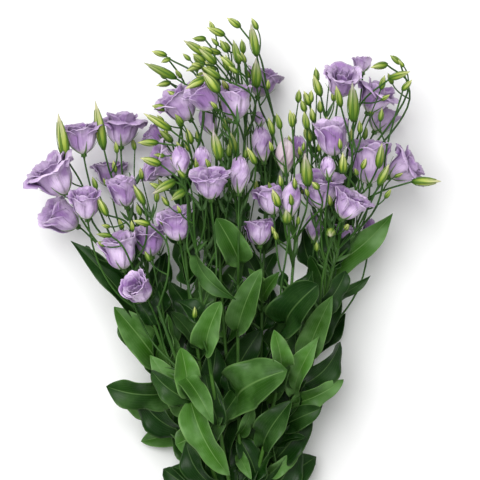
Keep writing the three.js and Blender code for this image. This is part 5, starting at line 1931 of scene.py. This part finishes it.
@dataclass
class Bracts(Scattered):
    """Small pointed bracts in pairs where the stalks fork off."""

    kind: str = "bract"
    finish: SepalFinish = SepalFinish("bract", (0.025, 0.085, 0.013), (0.08, 0.18, 0.04))
    rows: int = 8
    columns: int = 5
    length: float = 19.0
    width: float = 4.6
    lean: float = 0.45
    offset: float = 0.8
    thickness: float = 0.025
    outline: tuple[tuple[float, ...], ...] = ((0.0, 0.3, 0.6, 1.0), (0.6, 1.0, 0.7, 0.02))

    def template(self) -> MeshPile:
        """Makes a bract that arches towards +X."""
        pile = MeshPile()
        u, v = grid_shares(self.rows, self.columns)
        half = smooth_curve(*self.outline, v) / 2
        arch = 0.22 * v**2 + 0.15 * u**2 * half
        grid = np.stack(np.broadcast_arrays(arch, u * half * self.width / self.length, v), -1)
        pile.add(*sheet(grid, self.thickness))
        return pile

    def places_on(self, stem: str, routes: Routes) -> tuple[Array, dict[str, Array]]:
        """A bract on each side of the fork of every bloom's stalk, and of every inner point of the side
        shoots.
        """
        stalks = [stalk for row, stalk in zip(BLOOMS, routes.bloom_stalks) if row.on == stem]
        for shoot in routes.shoots:
            if shoot.on == stem:
                stalks += [shoot.line[first:] for first in range(1, len(shoot.line) - 1)]
        places = []
        aims = []
        for stalk in stalks:
            leaving = unit(stalk[1] - stalk[0])
            for side in (-1, 1):
                places.append(stalk[0] + beside(leaving) * side * self.offset)
                aims.append(leaving + beside(leaving) * side * self.lean)
        order = np.arange(len(places))
        size = self.length * (0.75 + 0.5 * scattered(order)) * MM
        values = {"aim": np.array(aims), "size": np.repeat(size[:, None], 3, axis=1), "spin": order * 2.4}
        return np.array(places), values


@dataclass
class Tie:
    """Raffia wound round the stems, knotted on top with two short tails."""

    turns: int = 7
    strand: float = 0.95
    sides: int = 8
    layers: int = 4
    points_per_turn: int = 24
    steps: int = 2
    waver: float = 0.12
    knot_turns: float = 1.3
    knot_radii: Point = (2.6, 3.4, 1.1)
    knot_height: float = 1.6
    tails: tuple[tuple[Point, Point], ...] = (
        ((1.5, 1.0, 2.2), (26.0, 21.0, -16.0)),
        ((-1.5, -1.0, 2.2), (-25.0, -17.0, -19.0)),
    )
    tail_rise: float = 8.0
    finish: RaffiaFinish = RaffiaFinish()

    def build(self) -> None:
        """Makes the wound strands and the knot."""
        tree = sweep_tree()
        lines = [self.coil(layer) for layer in range(self.layers)]
        lines += self.knot()
        girths = [np.full(len(line), self.strand * MM) for line in lines]
        source = polylines("raffia", lines, self.steps, girth=girths)
        piece = tree.run("tie_raffia", source, Sides=self.sides, Material=self.finish.material())
        ride_as(piece, "raffia", "tie")

    def coil(self, layer: int) -> Array:
        """Winds one layer of turns: the outermost is round, and the innermost hugs the stems.

        Args:
            layer: Its number, counted inwards.

        Returns:
            The points of its line.
        """
        share = np.linspace(0, 1, self.turns * self.points_per_turn)
        angle = 2 * math.pi * self.turns * share * (-1) ** layer + 1.4
        outward = np.stack([np.cos(angle), np.sin(angle)], 1)
        centres = np.array([row.slot for row in STEMS]) * STEM_PITCH * np.array([1, LAYER_PITCH])
        foremost = centres[np.argmax(outward @ centres.T, axis=1)]
        snug = foremost + outward * (STEM_RADIUS_FOOT + self.strand)
        waver = self.waver * (1 - np.sin(3.7 * angle))[:, None]
        ring = mix(outward * (TIE_OUTER - self.strand - waver), snug, layer / (self.layers - 1))
        reach = TIE_WIDTH / 2 - self.strand
        along = TIE_DISTANCE + reach * (2 * share - 1) + 0.35 * np.sin(0.9 * angle + layer)
        return np.stack([ring[:, 0], along, TIE_OUTER + ring[:, 1]], 1)

    def knot(self) -> list[Array]:
        """Lines of the knot on top and of its two tails."""
        middle = np.array([0.0, TIE_DISTANCE, 2 * TIE_OUTER])
        turn = np.linspace(0, 2 * self.knot_turns * math.pi, 26)
        across, along, rise = self.knot_radii
        height = self.knot_height + rise * np.sin(1.5 * turn)
        wrap = np.stack([across * np.cos(turn), along * np.sin(turn), height], 1)
        return [middle + wrap, *(self.tail(middle + start, middle + end) for start, end in self.tails)]

    def tail(self, start: Array, end: Array) -> Array:
        """Loose end that bows up a little on its way down."""
        t = np.linspace(0, 1, 10)[:, None]
        line = mix(start, end, t)
        line[:, 2] += self.tail_rise * np.sin(math.pi * t[:, 0]) * (1 - 0.3 * t[:, 0])
        return line


# ---------------- studio


@dataclass
class Studio:
    """Pale table, soft daylight from the upper left, and a camera that looks straight down."""

    look_at: tuple[float, float] = (0.0, 438.0)
    focus_height: float = 100.0
    field: float = 576.0
    distance: float = 3400.0
    sensor: float = 36.0
    table_size: float = 8.0
    world: float = 0.29
    key: float = 114.0
    key_place: Point = (-0.75, 0.9, 3.0)
    key_size: float = 2.3
    fill: float = 16.0
    fill_place: Point = (1.6, -0.9, 2.6)
    fill_size: float = 2.6

    def build(self) -> None:
        """Adds the table, the lights, the world and the camera, and sets the view transform."""
        scene = bpy.context.scene
        scene.view_settings.view_transform = "Standard"
        self.table()
        self.soft_world(scene)
        self.area("key", self.key_place, self.key_size, self.key)
        self.area("fill", self.fill_place, self.fill_size, self.fill)
        scene.camera = self.camera()

    def table(self) -> None:
        """Adds the table top."""
        half = self.table_size / 2
        mesh = bpy.data.meshes.new("table_top")
        corners = [(-half, -half, 0), (half, -half, 0), (half, half, 0), (-half, half, 0)]
        mesh.from_pydata(corners, [], [(0, 1, 2, 3)])
        mesh.materials.append(TableFinish().material())
        linked("table_top", mesh)

    def soft_world(self, scene: bpy.types.Scene) -> None:
        """Sets an even pale surrounding."""
        world = bpy.data.worlds.new("surrounding")
        world.use_nodes = True
        background = world.node_tree.nodes["Background"]
        background.inputs["Color"].default_value = (1.0, 1.0, 1.0, 1.0)
        background.inputs["Strength"].default_value = self.world
        scene.world = world

    def area(self, name: str, place: Point, size: float, power: float) -> None:
        """Adds a square area light that faces the flowers.

        Args:
            name: Its name.
            place: Its place in metres.
            size: Its side in metres.
            power: Its power in watts.
        """
        light = bpy.data.lights.new(name, "AREA")
        light.shape = "SQUARE"
        light.size = size
        light.energy = power
        lamp = linked(name, light)
        target = to_frame(np.array([*self.look_at, self.focus_height]))
        lamp.location = place
        lamp.rotation_euler = Vector(target - np.array(place)).to_track_quat("-Z", "Y").to_euler()

    def camera(self) -> bpy.types.Object:
        """Adds the camera above the flowers, with +Y at the top of its picture."""
        data = bpy.data.cameras.new("camera")
        data.sensor_width = self.sensor
        data.lens = self.sensor * self.distance / self.field
        camera = linked("camera", data)
        camera.location = to_frame(np.array([*self.look_at, self.focus_height + self.distance]))
        return camera


def main() -> None:
    """Builds every part of the bunch in turn, then the studio."""
    logging.basicConfig(level=logging.INFO, format="%(name)s: %(message)s")
    routes = Routes()
    Stalks().build(routes)
    Bracts().build(routes)
    Leaves().build(routes)
    Buds().build(routes)
    Calyces().build()
    Blooms().build()
    Tie().build()
    Studio().build()


if __name__ == "__main__":
    main()
